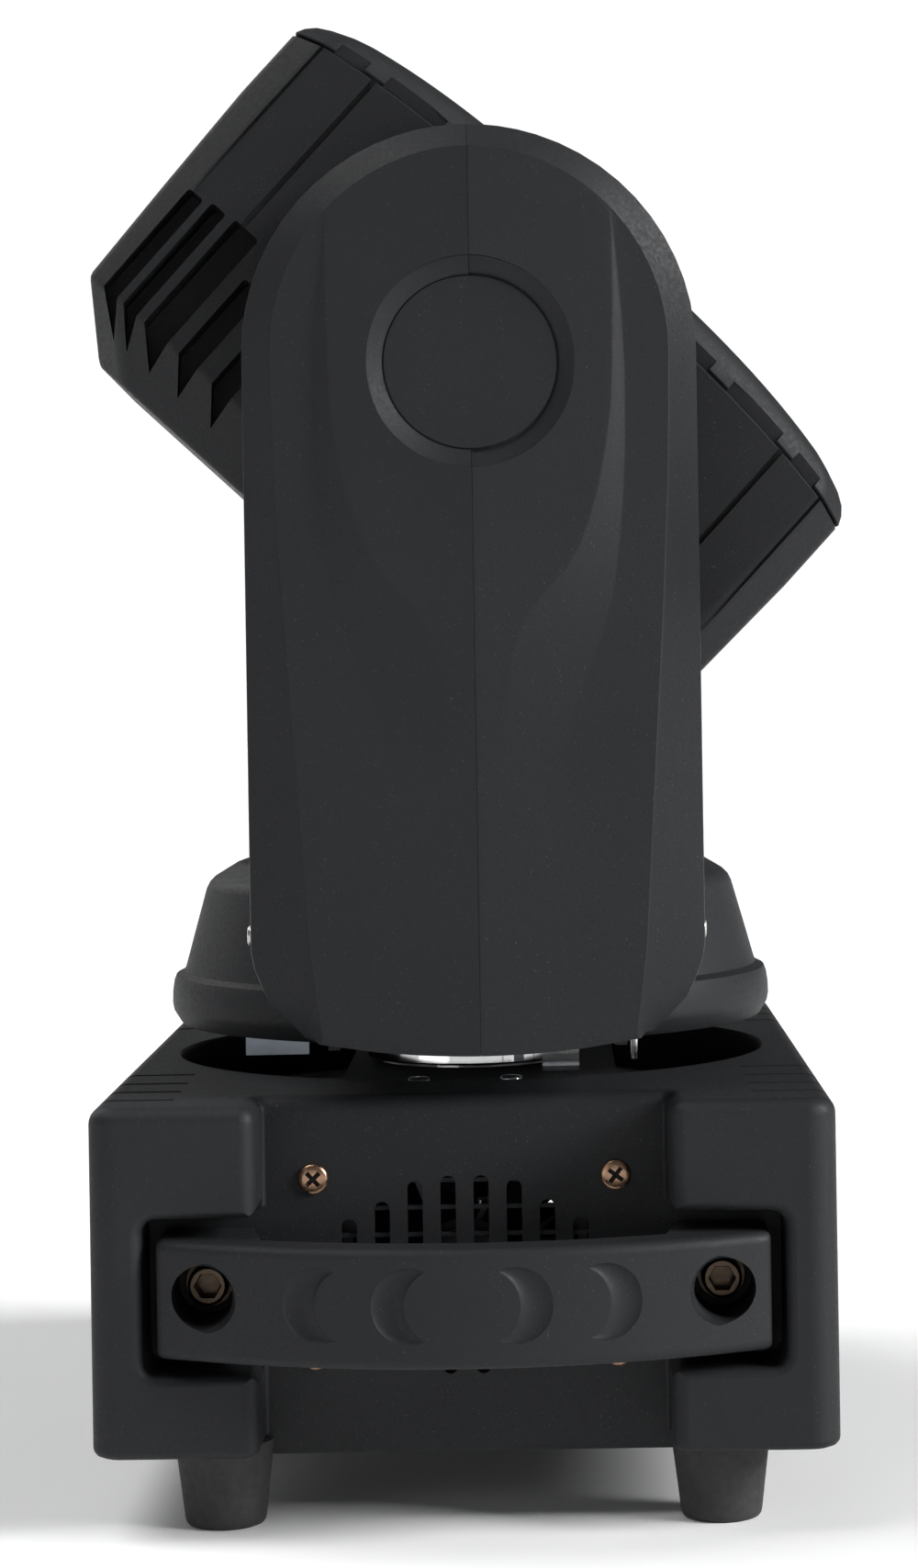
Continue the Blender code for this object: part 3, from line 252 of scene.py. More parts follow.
CHARCOAL = (0.0112, 0.0119, 0.0132)
PLASTIC = moulded("charcoal_plastic", CHARCOAL)
HEAD_PLASTIC = moulded("head_plastic", scaled(CHARCOAL, 0.85), 0.58)
POWDER = moulded("powder_coat", scaled(CHARCOAL, 0.8), 0.48, 0.7)
DULL_BLACK = smooth_plastic("dull_black", (0.012, 0.012, 0.013), 0.62)
GLOSS = smooth_plastic("gloss_black", (0.012, 0.013, 0.015), 0.2)
SATIN = smooth_plastic("satin_black", (0.016, 0.016, 0.018), 0.38)
RUBBER = rubber("foot_rubber", (0.017, 0.017, 0.018))
CHROME = metal("polished_steel", (0.9, 0.91, 0.93), 0.16, (1, 1, 5), 60, 0.01)
POLISHED = metal("bright_turned_steel", (0.93, 0.94, 0.95), 0.07, (1, 1, 8), 40, 0.0)
ZINC = metal("zinc_plate", (0.36, 0.4, 0.45), 0.36, (1, 1, 1), 90, 0.06)
NICKEL = metal("nickel_plate", (0.5, 0.49, 0.47), 0.26, (4, 1, 1), 300)
GUNMETAL = metal("gunmetal_plate", (0.15, 0.15, 0.16), 0.34, (1, 1, 1), 160, 0.03)
ALUMINIUM = metal("bare_aluminium", (0.66, 0.67, 0.69), 0.38, (1, 8, 1), 300)
COPPERED = metal("coppered_screws", (0.4, 0.245, 0.16), 0.3, (1, 1, 1), 420)
BUTTON_RUBBER = rubber("button_rubber", (0.075, 0.078, 0.082), 0.6)
# copper-plated steel of the handle cap screws and washers, darkened well below the panel screws' copper as
# painted shade for their deep pockets
SHADE_DARKENED_COPPER = metal("bronzed_steel", (0.075, 0.055, 0.04), 0.34, (1, 1, 1), 500, 0.1)
GREEN_BOARD = circuit("green_board", (0.01, 0.075, 0.035), (0.02, 0.16, 0.07))
WHITE_BOARD = circuit("white_board", (0.72, 0.72, 0.7), (0.55, 0.5, 0.42))
ACRYLIC = clear_acrylic("lens_acrylic")
SCREEN = lcd("screen")


# ---------------- mesh helpers

def add_object(name, data):
    obj = bpy.data.objects.new(name, data)
    bpy.context.scene.collection.objects.link(obj)
    return obj


def solid(name, bm):
    """A bmesh as an object, still in its local frame."""
    bmesh.ops.recalc_face_normals(bm, faces=bm.faces)
    mesh = bpy.data.meshes.new(name)
    bm.to_mesh(mesh)
    bm.free()
    return add_object(name, mesh)


def carve(obj, *tools, operation="DIFFERENCE"):
    """Booleans with bmeshes or objects, one after another and applied at once; the tools are used up."""
    for tool in tools:
        if not isinstance(tool, bpy.types.Object):
            tool = solid(obj.name + "_tool", tool)
        modifier = obj.modifiers.new("carve", "BOOLEAN")
        modifier.operation = operation
        modifier.solver = "EXACT"
        modifier.object = tool
        bpy.context.view_layer.update()
        evaluated = obj.evaluated_get(bpy.context.evaluated_depsgraph_get())
        carved = bpy.data.meshes.new_from_object(evaluated)
        obj.modifiers.clear()
        spent = (obj.data, tool.data)
        obj.data = carved
        bpy.data.objects.remove(tool)
        for mesh in spent:
            bpy.data.meshes.remove(mesh)


def piece(obj, body, material, replaces=(), place=Matrix.Identity(4), smooth=32):
    """Put a finished shape in the row frame, give it its surface and hang it on a CAD body."""
    mesh = obj.data
    mesh.transform(place)
    if place.determinant() < 0:
        mesh.flip_normals()
    mesh.materials.clear()
    mesh.materials.append(material)
    mesh.shade_smooth()
    mesh.set_sharp_from_angle(angle=math.radians(smooth))
    weighted = obj.modifiers.new("weighted", "WEIGHTED_NORMAL")
    weighted.keep_sharp = True
    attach(obj, body)
    if replaces:
        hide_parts(*replaces)


def loft(sections, closed=False, bm=None):
    """Skin over rings of points, capped at both ends or closed on itself."""
    bm = bm or bmesh.new()
    rings = [[bm.verts.new(point) for point in section] for section in sections]
    count = len(rings[0])
    for ring, following in zip(rings, rings[1:] + (rings[:1] if closed else [])):
        for i in range(count):
            j = (i + 1) % count
            bm.faces.new((ring[i], ring[j], following[j], following[i]))
    if not closed:
        bm.faces.new(rings[0])
        bm.faces.new(rings[-1])
    return bm


def lay(outline, level, axis="Z"):
    """A flat outline as points at one level of an axis."""
    if axis == "X":
        return [(level, a, b) for a, b in outline]
    if axis == "Y":
        return [(a, level, b) for a, b in outline]
    return [(a, b, level) for a, b in outline]


def prism(outline, low, high, axis="Z", bm=None):
    return loft([lay(outline, low, axis), lay(outline, high, axis)], bm=bm)


def box(x, y, z, bm=None):
    x, y, z = sorted(x), sorted(y), sorted(z)
    return prism([(x[0], y[0]), (x[1], y[0]), (x[1], y[1]), (x[0], y[1])], z[0], z[1], bm=bm)


def arc(centre, radius, start, end, steps):
    angles = [math.radians(start + (end - start) * i / steps) for i in range(steps + 1)]
    return [(centre[0] + radius * math.cos(t), centre[1] + radius * math.sin(t)) for t in angles]


def circle(radius, count=48, centre=(0, 0)):
    return arc(centre, radius, 0, 360, count)[:-1]


def rounded_rectangle(half_a, half_b, radius, steps=5, centre=(0, 0)):
    points = []
    for sign_a, sign_b, start in ((1, 1, 0), (-1, 1, 90), (-1, -1, 180), (1, -1, 270)):
        corner = (centre[0] + sign_a * (half_a - radius), centre[1] + sign_b * (half_b - radius))
        points += arc(corner, radius, start, start + 90, steps)
    return points


def turned(profile, segments=64, closed=False, bm=None, centre=(0, 0)):
    """Round solid about Z from a profile of (radius, height)."""
    return loft([lay(circle(r, segments, centre), z) for r, z in profile], closed, bm)


def turned_y(profile, segments, centre, side, bm=None):
    """Round solid along Y from a profile of (radius, distance out) on one side of the light."""
    return loft([lay(circle(r, segments, centre), side * y, "Y") for r, y in profile], bm=bm)


def stadium(x, z, half_width, half_height, steps=5):
    straight = half_height - half_width
    top = arc((x, z + straight), half_width, 0, 180, steps)
    return top + arc((x, z - straight), half_width, 180, 360, steps)


def aim(position, direction):
    """Matrix that takes local Z to a direction and the origin to a position."""
    return Matrix.Translation(position) @ Vector(direction).to_track_quat("Z", "Y").to_matrix().to_4x4()


def centre_of(node):
    low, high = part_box(node)
    return (low + high) / 2


# ---------------- screws

def cross_screw(name, radius, height, body, material, position, direction, turn=0.0):
    """Pan head screw with a cross recess."""
    profile = [(radius * 0.72, -0.0026), (radius * 0.72, -0.0004), (radius, -0.0002)]
    profile += [(radius * r, height * z) for r, z in (
        (1.0, 0.22), (0.95, 0.52), (0.84, 0.8), (0.6, 0.95), (0.3, 1.0), (0.1, 1.0))]
    screw = solid(name, turned(profile, 40))
    slim = radius * 0.145

    def cross(reach):
        arm = ((reach, -slim), (reach, slim), (slim, slim))
        turns = ((1, 0), (0, 1), (-1, 0), (0, -1))
        return [(a * cos - b * sin, a * sin + b * cos) for cos, sin in turns for a, b in arm]

    recess = [lay(cross(radius * 0.372), height - 0.003), lay(cross(radius * 0.62), height + 0.0004)]
    carve(screw, loft(recess))
    piece(screw, body, material, place=aim(position, direction) @ Matrix.Rotation(turn, 4, "Z"))


def socket_screw(name, position, direction, replaces):
    """Socket cap screw on a washer, both in copper darkened as painted shade; the origin is the middle of its
    head's top.
    """
    place = aim(position, direction)
    radius, washer_r, shank_r = 0.0065, 0.0079, 0.004
    under = -CAP_HEIGHT
    top = under + 0.001
    washer = [(0.0044, under), (0.0044, top), (washer_r - 0.0003, top), (washer_r, top - 0.0003),
              (washer_r, under)]
    # washer and screw both take the copper darkened as painted shade
    piece(solid(name + "_washer", turned(washer, 48, closed=True)), "base", SHADE_DARKENED_COPPER, (), place)
    profile = [(shank_r, -0.019), (shank_r, under), (radius, under), (radius, -0.0011),
               (radius - 0.0003, -0.0005), (radius - 0.001, 0.0)]
    screw = solid(name, turned(profile, 48))
    carve(screw, turned([(0.004, -0.007), (0.0042, -0.0007), (0.005, 0.001)], 6))
    piece(screw, "base", SHADE_DARKENED_COPPER, replaces, place)


# ---------------- base

def base_outline(inset=0.0):
    """The base from above: blocks at the four corners, and each side set back between them."""
    corner_r, inner_r, fillet_r, steps = 0.01, 0.0055, 0.0014, 8
    corner = (BASE_HALF_X - corner_r, BASE_HALF_Y - corner_r)
    inner_corner = (BLOCK_INNER_X + inner_r, BASE_HALF_Y - inner_r)
    fillet = (BLOCK_INNER_X - fillet_r, RECESS_Y + fillet_r)
    quarter = arc(corner, corner_r - inset, 0, 90, steps)
    quarter += arc(inner_corner, max(inner_r - inset, 0.0001), 90, 180, steps)
    quarter += arc(fillet, fillet_r + inset, 0, -90, steps)
    left = quarter + [(-x, y) for x, y in reversed(quarter)]
    return left + [(-x, -y) for x, y in left]


def flared_pocket(side):
    """Handle pocket whose mouth is rounded over towards the face of the block."""
    flare, corner_r = 0.0035, 0.005
    profile = [(RECESS_Y, 0.0), (BASE_HALF_Y - flare, 0.0)]
    profile += [(BASE_HALF_Y - flare + flare * math.sin(t), flare * (1 - math.cos(t)))
                for t in (math.radians(a) for a in (18, 36, 54, 70, 84))]
    profile.append((BASE_HALF_Y + 0.004, flare * 1.1))
    middle, half = (POCKET_HIGH + POCKET_LOW) / 2, (POCKET_HIGH - POCKET_LOW) / 2
    sections = []
    for depth, extra in profile:
        mouth = rounded_rectangle(POCKET_HALF_X + extra, half + extra, corner_r + extra, 5, (0, middle))
        sections.append(lay(mouth, side * depth, "Y"))
    return loft(sections)


def rounded_inner_corners(side):
    """Wedges that round off the blocks where the pocket runs out into the recess."""
    bm = bmesh.new()
    radius, spare = 0.009, 0.003
    for sign in (-1, 1):
        for level, way in ((POCKET_HIGH, 1), (POCKET_LOW, -1)):
            x, z = BLOCK_INNER_X - 0.0015, level - way * 0.001
            outline = [(x - spare, z - way * spare), (x - spare, z + way * radius)]
            outline += arc((x + radius, z + way * radius), radius, 180, 180 + way * 90, 8)
            outline.append((x + radius, z - way * spare))
            outline = [(sign * a, b) for a, b in outline]
            prism(outline, side * (RECESS_Y + 0.0024), side * (BASE_HALF_Y + CLEAR), "Y", bm)
    return bm


def vents(side):
    """Tall slots through the recessed wall; the middle pair reaches a little lower."""
    bm = bmesh.new()
    for column, half_height in enumerate(VENT_HALF_HEIGHTS):
        lower = 0.001 if column == 0 else 0.0
        for sign in (-1, 1):
            x = sign * (column + 0.5) * VENT_PITCH
            outline = stadium(x, VENT_Z - lower, VENT_WIDTH / 2, half_height + lower, 6)
            prism(outline, side * (RECESS_Y - 2 * WALL), side * (RECESS_Y + WALL), "Y", bm)
    return bm


def vent_bars(side):
    """Thin bars that cross the vents just below their surface."""
    bm = bmesh.new()
    middle, pitch, half_thick = 0.08, 0.0088, 0.0007
    for step in (-2.5, -1.5, -0.5, 0.5, 1.5, 2.5, 3.5):
        z = middle + pitch * step
        width = 0.0455 if abs(step) < 2 else 0.0345 if abs(step) < 3 else 0.024
        box((-width, width), (side * (RECESS_Y - 0.003), side * (RECESS_Y - 0.0012)),
            (z - half_thick, z + half_thick), bm)
    return bm


def top_grooves(side):
    """Short grooves in the top edge of one side, front and rear, that run a little way down the end faces."""
    bm = bmesh.new()
    start, deep, drop, half_width = 0.094, 0.0016, 0.012, 0.0016
    for end in (-1, 1):
        for back in (0.024, 0.046, 0.069, 0.094):
            y = side * (BASE_HALF_Y - back)
            low, high = BASE_TOP - deep, BASE_TOP + 0.002
            outline = [(y - half_width, low), (y + half_width, low), (y + 0.0024, high), (y - 0.0024, high)]
            prism(outline, end * start, end * (BASE_HALF_X + CLEAR), "X", bm)
            box((end * (BASE_HALF_X - 0.0014), end * (BASE_HALF_X + CLEAR)), (y - 0.0018, y + 0.0018),
                (BASE_TOP - drop, high), bm)
    return bm


def base_cavity():
    """What is hollow inside the base: all but the walls, the well and the two handle pockets."""
    cavity = solid("base_hollow", prism(base_outline(WALL), BASE_BOTTOM - CLEAR, BASE_TOP - WALL))
    carve(cavity, turned([(WELL_R + WALL, WELL_FLOOR - WALL), (WELL_R + WALL, BASE_TOP + CLEAR)], 96))
    width = POCKET_HALF_X + WALL
    for side in (-1, 1):
        carve(cavity, box((-width, width), (side * (RECESS_Y - WALL), side * (BASE_HALF_Y + CLEAR)),
                          (POCKET_LOW - WALL, POCKET_HIGH + WALL)))
    return cavity


def build_base():
    bottom, top_r = BASE_BOTTOM - 0.0012, 0.0055
    profile = [(bottom, 0.003), (bottom + 0.0007, 0.0012), (bottom + 0.0018, 0.0003), (bottom + 0.003, 0.0)]
    profile += arc((BASE_TOP - top_r, top_r), top_r, -90, 0, 6)
    shell = solid("base_shell", loft([lay(base_outline(inset), z) for z, inset in profile]))
    well = [(WELL_R, WELL_FLOOR), (WELL_R, BASE_TOP - 0.0012), (WELL_R + 0.0004, BASE_TOP - 0.0004),
            (WELL_R + 0.0014, BASE_TOP + 0.0006), (WELL_R + 0.0014, BASE_TOP + CLEAR)]
    low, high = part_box("pan_plate")
    lip = 0.002
    under_plate = box((low.x + lip, high.x - lip), (low.y + lip, high.y - lip),
                      (WELL_FLOOR - 2 * WALL, WELL_FLOOR + WALL))
    carve(shell, base_cavity(), turned(well, 128), under_plate)
    window = rounded_rectangle(0.102, 0.036, 0.004, 4, (0, 0.084))
    for end in (-1, 1):
        carve(shell, prism(window, end * (BASE_HALF_X - CLEAR), end * (BASE_HALF_X + CLEAR), "X"))
    hole = [(BOLT_HOLE_R, RECESS_Y - 2 * WALL), (BOLT_HOLE_R, RECESS_Y + WALL)]
    for side in (-1, 1):
        holes = bmesh.new()
        for x in (-BOLT_X, BOLT_X):
            turned_y(hole, 24, (x, BOLT_Z), side, holes)
        carve(shell, flared_pocket(side), rounded_inner_corners(side), vents(side), holes, top_grooves(side))
    piece(shell, "base", PLASTIC, ("base_housing",))


def build_base_sides():
    """Small pieces on the recessed walls: bars across the vents, a skirt below and the panel screws."""
    for side_name, side in SIDES:
        piece(solid(f"vent_bars_{side_name}", vent_bars(side)), "base", PLASTIC)
        skirt = rounded_rectangle(0.0688, 0.005, 0.0008, 2, (0, 0.0275))
        skirt = solid(f"base_skirt_{side_name}", prism(skirt, side * 0.1412, side * (RECESS_Y - 0.0001), "Y"))
        piece(skirt, "base", PLASTIC)
        for end_name, end in reversed(ENDS):
            for level, z in (("high", 0.112), ("low", 0.0545)):
                x = end * 0.0494
                turn = math.radians(37 + 1000 * x + 500 * z)
                cross_screw(f"panel_screw_{side_name}_{end_name}_{level}", 0.005, 0.0017, "base", COPPERED,
                            (x, side * (RECESS_Y + 0.0001), z), (0, side, 0), turn)


def handle_section(x, low_y, high_y, inset, side):
    half_y, half_z = (high_y - low_y) / 2 - inset, (HANDLE_HIGH - HANDLE_LOW) / 2 - inset
    radius = min(max(0.0035 - inset, 0.0008), half_y * 0.9)
    middle = ((low_y + high_y) / 2, (HANDLE_LOW + HANDLE_HIGH) / 2)
    return [(x, side * y, z) for y, z in rounded_rectangle(half_y, half_z, radius, 4, middle)]


def handle_face(x):
    """How far out the bowed face of a handle stands."""
    return BASE_HALF_Y + HANDLE_BOW * (1 - (x / HANDLE_HALF_X) ** 2)


def finger_dent(x, side):
    """Moon-shaped hollow in the handle's face, curving round the side away from its middle."""
    slope = -2 * HANDLE_BOW * x / HANDLE_HALF_X ** 2
    tangent = Vector((1, side * slope, 0)).normalized() * math.copysign(1, x)
    outward = Vector((-slope, side, 0)).normalized()
    centre = Vector((x, side * handle_face(x), 0.0793))
    outer_r, inner_r, shift, deep, clear = 0.0122, 0.0117, 0.0108, 0.0017, 0.0004
    half_count = 14
    sections = []
    for i in range(-half_count, half_count + 1):
        far, near = math.radians(116 * i / half_count), math.radians(67 * i / half_count)
        outer = (outer_r * math.cos(far), outer_r * math.sin(far))
        inner = (inner_r * math.cos(near) - shift, inner_r * math.sin(near))
        fade = max(1 - (abs(i) / half_count) ** 3, 0.03)
        points = [(share, clear - (deep * fade + clear) * math.sin(math.pi * share) ** 0.55)
                  for share in (0.0, 0.07, 0.16, 0.3, 0.5, 0.7, 0.84, 0.93, 1.0)]
        sections.append([centre + tangent * (inner[0] + (outer[0] - inner[0]) * share)
                         + Vector((0, 0, inner[1] + (outer[1] - inner[1]) * share)) + outward * height
                         for share, height in points + [(1.0, 0.006), (0.0, 0.006)]])
    return loft(sections)


def build_handle(side_name, side):
    """Bowed bar between two thick ends, counterbored for its cap screws."""
    thick_end, steps = 0.066, 40
    stations = [-0.098, -0.0975, -0.096, -0.09, -0.08, -0.0745, -0.0715, -0.069, -0.0645]
    mirrored = [-x for x in reversed(stations)]
    stations += [-0.06 + 0.12 * i / steps for i in range(steps + 1)] + mirrored
    sections = []
    for x in stations:
        outer = handle_face(x)
        inner = outer - HANDLE_THICK if abs(x) < thick_end else RECESS_Y + GAP
        inset = {0.098: 0.0014, 0.0975: 0.0006}.get(abs(x), 0.0)
        sections.append(handle_section(x, inner, outer, inset, side))
    handle = solid(f"carrying_handle_{side_name}", loft(sections))
    bores, shanks = bmesh.new(), bmesh.new()
    for x in (-BOLT_X, BOLT_X):
        face = handle_face(x)
        bore = [(0.0099, BOLT_SEAT_Y + GAP), (0.0099, face - 0.0022), (0.0102, face - 0.001),
                (0.0112, face + 0.0008), (0.0119, face + 0.02)]
        turned_y(bore, 48, (x, BOLT_Z), side, bores)
        shank = [(BOLT_HOLE_R, RECESS_Y - CLEAR), (BOLT_HOLE_R, BOLT_SEAT_Y + 0.002)]
        turned_y(shank, 24, (x, BOLT_Z), side, shanks)
    carve(handle, bores, shanks, *(finger_dent(x, side) for x in (-0.0452, -0.017, 0.017, 0.0452)))
    piece(handle, "base", PLASTIC, (f"handle_{side_name}",))
    for end_name, end in ENDS:
        position = (end * BOLT_X, side * (BOLT_SEAT_Y + CAP_HEIGHT), BOLT_Z)
        socket_screw(f"cap_screw_{side_name}_{end_name}", position, (0, side, 0),
                     (f"handle_bolt_{side_name}_{end_name}",))


def build_feet():
    for end_name, _ in ENDS:
        for side_name, _ in SIDES:
            node = f"foot_{side_name}_{end_name}"
            centre, top = centre_of(node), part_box(node)[1].z
            profile = [(0.0045, 0.0045), (0.0045, 0.0008), (0.006, 0.0), (0.0114, 0.0), (0.0124, 0.0004),
                       (0.013, 0.0012), (0.0133, 0.0024), (0.0148, 0.015), (0.0162, top - 0.0012),
                       (0.0163, top)]
            place = Matrix.Translation((centre.x + 0.0014, centre.y, 0))
            piece(solid(f"rubber_{node}", turned(profile, 56)), "base", RUBBER, (node,), place)


# ---------------- yoke

# Lines down an arm's face, as (height, half width or step) from the top: the edge of the flat face, the outer
# and inner edges of the tongue, and the depth of the step between them.
BAND_LINE = ((ARM_ARC_Z, 0.0652), (0.34, 0.0645), (0.3, 0.0625), (0.25, 0.059), (0.187, 0.055),
             (0.17, 0.053), (0.1575, 0.051))
OUTER_LINE = ((0.46, 0.044), (0.42, 0.047), (0.396, 0.0492), (0.374, 0.0502), (0.35, 0.05),
              (0.331, 0.049), (0.316, 0.0475), (0.301, 0.0455), (0.29, 0.042), (0.278, 0.0375),
              (0.265, 0.032), (0.24, 0.026), (0.152, 0.02))
INNER_LINE = ((0.46, 0.0436), (0.42, 0.0464), (0.396, 0.0465), (0.374, 0.046), (0.363, 0.0455),
              (0.35, 0.0437), (0.336, 0.041), (0.326, 0.038), (0.317, 0.0346), (0.31, 0.0305),
              (0.304, 0.025), (0.297, 0.019), (0.288, 0.014), (0.27, 0.01), (0.152, 0.008))
STEP_LINE = ((0.46, 0.0), (0.422, 0.0004), (0.396, 0.0014), (0.363, 0.0025), (0.336, 0.0034),
             (0.317, 0.0038), (0.304, 0.0036), (0.29, 0.0027), (0.272, 0.0014), (0.25, 0.0005),
             (0.235, 0.0), (0.152, 0.0))


def along(line, z):
    """Value at height z on a falling (z, value) line."""
    if z >= line[0][0]:
        return line[0][1]
    for (z1, v1), (z2, v2) in zip(line, line[1:]):
        if z >= z2:
            return v1 + (v2 - v1) * (z1 - z) / (z1 - z2)
    return line[-1][1]


def arm_rows():
    """Rows from the top of an arm to its foot: the height, the face's half width and the silhouette point."""
    rows = []
    for degrees in (90, 86, 82, 77, 72, 66, 60, 54, 48, 42, 36, 30, 24, 18, 12, 6, 0):
        t = math.radians(degrees)
        rows.append((ARM_ARC_Z + BAND_R * math.sin(t), max(BAND_R * math.cos(t) - 0.0003, SEAM),
                     (max(ARM_HALF_X * math.cos(t), SEAM), ARM_ARC_Z + ARM_HALF_X * math.sin(t))))
    for z in (0.374, 0.363, 0.35, 0.343, 0.336, 0.331, 0.326, 0.321, 0.317, 0.313, 0.31, 0.307, 0.304,
              0.301, 0.297, 0.293, 0.288, 0.283, 0.278, 0.271, 0.264, 0.256, 0.247, 0.235, 0.22, 0.205,
              0.192, 0.187):
        rows.append((z, along(BAND_LINE, z), (ARM_HALF_X, z)))
    for z, corner in ((0.1815, (0.073, 0.1815)), (0.176, (0.0706, 0.1755)), (0.17, (0.068, 0.17)),
                      (0.164, (0.062, 0.164)), (0.159, (0.0566, 0.1587))):
        rows.append((z, along(BAND_LINE, z), corner))
    return rows


def foot_line(x):
    """Height of the arm's lower edge, which rises away from the middle."""
    return ARM_BOTTOM + 0.0044 * (x / 0.0515) ** 2.2


def arm_face(x, z):
    """How far out the flat face stands: slightly roofed, with a raised tongue down from the tilt axis."""
    roof = 0.0042 * (x / 0.065)
    step = along(STEP_LINE, z)
    inner, outer = along(INNER_LINE, z), along(OUTER_LINE, z)
    t = min(max((x - inner) / max(outer - inner, 1e-5), 0.0), 1.0)
    return ARM_OUTER_Y - roof - step * t


def face_stations(z, edge):
    """Places across an arm's face at height z, from the seam to the edge, closest at the tongue."""
    if edge <= SEAM:
        return [SEAM] * 12
    inner, outer = along(INNER_LINE, z), along(OUTER_LINE, z)
    scale = min(1.0, (edge - 0.0012) / outer) if edge < outer + 0.0012 else 1.0
    inner, outer = inner * scale, outer * scale
    xs = [SEAM, inner * 0.33, inner * 0.66, inner * 0.93, inner - 0.0004, inner + 0.0003, (inner + outer) / 2,
          outer - 0.0003, outer + 0.0004, outer * 0.6 + edge * 0.4, edge - 0.0006 * scale, edge]
    for i in range(1, len(xs)):
        xs[i] = max(xs[i], xs[i - 1] + 0.00002)
    return xs


def arm_shell(end, side):
    """Half an arm casing as a closed shell; end is +1 in front and -1 behind."""
    proud = 0.00045 if end < 0 else 0.0
    grid = []
    for z, edge, (far_x, far_z) in arm_rows():
        row = [(x, arm_face(x, z) + proud, z) for x in face_stations(z, edge)]
        edge_x, edge_y, _ = row.pop()
        edge_y -= 0.0003
        row += [(edge_x, edge_y, z),
                ((edge_x + far_x) / 2, (edge_y + ARM_BAND_Y) / 2 + 0.0003, (z + far_z) / 2),
                (far_x * 0.985 + edge_x * 0.015, ARM_BAND_Y + 0.0004, far_z * 0.985 + z * 0.015)]
        row += [(far_x, ARM_BAND_Y - 0.0006, far_z), (far_x, ARM_INNER_Y + 0.0012, far_z),
                (far_x - 0.0004, ARM_INNER_Y + 0.0003, far_z), (far_x - 0.0012, ARM_INNER_Y, far_z)]
        grid.append(row)
    edge, far_x, far_z = 0.0515, 0.053, 0.1573
    foot = [(x, arm_face(x, foot_line(x)) - 0.0004, foot_line(x)) for x in face_stations(0.152, edge)]
    foot.append(((edge + far_x) / 2, (ARM_OUTER_Y + ARM_BAND_Y) / 2, 0.1571))
    foot += [(far_x, y, far_z) for y in (ARM_BAND_Y + 0.0004, ARM_BAND_Y - 0.0006, ARM_INNER_Y + 0.0012,
                                         ARM_INNER_Y + 0.0003)]
    foot.append((far_x - 0.0012, ARM_INNER_Y, far_z))
    grid.append(foot)

    bm = bmesh.new()
    inner_side = [(SEAM, ARM_INNER_Y, foot_line(0)), (SEAM, ARM_INNER_Y, ARM_ARC_Z + ARM_HALF_X - 0.0012)]
    *rows, (inner_low, inner_top) = [[bm.verts.new((end * x, side * y, z)) for x, y, z in row]
                                     for row in grid + [inner_side]]
    for upper, lower in zip(rows, rows[1:]):
        for j in range(len(upper) - 1):
            bm.faces.new((upper[j], upper[j + 1], lower[j + 1], lower[j]))
    bm.faces.new(rows[0] + [inner_top])
    bm.faces.new(rows[-1] + [inner_low])
    bm.faces.new([row[0] for row in rows] + [inner_low, inner_top])
    bm.faces.new([row[-1] for row in rows] + [inner_low, inner_top])
    bmesh.ops.remove_doubles(bm, verts=bm.verts, dist=0.000005)
    return bm


def hub_cut(side, end):
    """Recess round the hub disc, a little deeper in the front half of the casing."""
    floor_r, face = (0.0284, ARM_OUTER_Y) if end < 0 else (0.0289, ARM_OUTER_Y - 0.0006)
    profile = [(floor_r, face - 0.0052), (floor_r, face - 0.0044), (0.0342, face - 0.0014),
               (0.0348, face + 0.006)]
    return turned_y(profile, 96, (0, TILT_Z), side)


def build_arm(side_name, side):
    """One arm of the yoke: two half casings that meet at the middle, their screws and the hub disc."""
    inside = 0.047
    for end_name, end in ENDS:
        shell = solid(f"arm_casing_{side_name}_{end_name}", arm_shell(end, side))
        hole = turned_y([(0.018, ARM_INNER_Y - CLEAR), (0.018, ARM_INNER_Y + 0.006)], 48, (0, TILT_Z), side)
        hollow = box((-inside, inside), (side * (ARM_INNER_Y - CLEAR), side * (ARM_INNER_Y + 0.008)),
                     (ARM_BOTTOM - CLEAR, 0.2))
        carve(shell, hub_cut(side, end), hole, hollow)
        piece(shell, "yoke", PLASTIC, (f"arm_cover_{side_name}_{end_name}",), YOKE, 24)
        cross_screw(f"arm_screw_{side_name}_{end_name}", 0.0036, 0.0016, "yoke", NICKEL,
                    YOKE @ Vector((end * ARM_HALF_X, side * 0.134, 0.191)), YOKE @ Vector((end, 0, 0)), 0.4)
    face = ARM_OUTER_Y - 0.004
    profile = [(0.0281, face - 0.004), (0.0281, face - 0.0004), (0.0279, face - 0.0001), (0.0275, face)]
    disc = solid(f"hub_disc_{side_name}", turned_y(profile, 96, (0, TILT_Z), side))
    piece(disc, "yoke", PLASTIC, (), YOKE)


def build_turret():
    """Round lower casing of the yoke with a neck to each arm."""
    outer = [(0.1056, TURRET_BOTTOM), (0.1062, 0.1516), (0.1086, 0.1555), (0.1091, 0.158), (0.109, 0.162),
             (0.1084, 0.166), (0.1076, 0.1681), (0.1058, 0.169), (0.1046, 0.1696), (0.104, 0.1712),
             (0.0962, 0.199), (0.095, 0.2014), (0.093, 0.2034), (0.085, 0.2082), (0.0828, 0.209),
             (0.05, 0.2125), (0.004, 0.2128)]
    cover = solid("turret_casing", turned(outer, 128))
    neck = rounded_rectangle(0.05, 0.03, 0.008, 5, (0, 0.173))
    for side in (-1, 1):
        carve(cover, prism(neck, side * 0.06, side * (ARM_INNER_Y - GAP), "Y"), operation="UNION")
    low = TURRET_BOTTOM - CLEAR
    inside = [(0.103, low), (0.103, 0.165), (0.092, 0.1985), (0.082, 0.205), (0.004, 0.2095)]
    carve(cover, box((-0.2, 0.2), (-0.2, 0.2), (0.1, TURRET_BOTTOM)), turned(inside, 96),
          box((-0.046, 0.046), (-0.13, 0.13), (low, 0.199)))
    piece(cover, "yoke", PLASTIC, ("turret_cover",), YOKE)


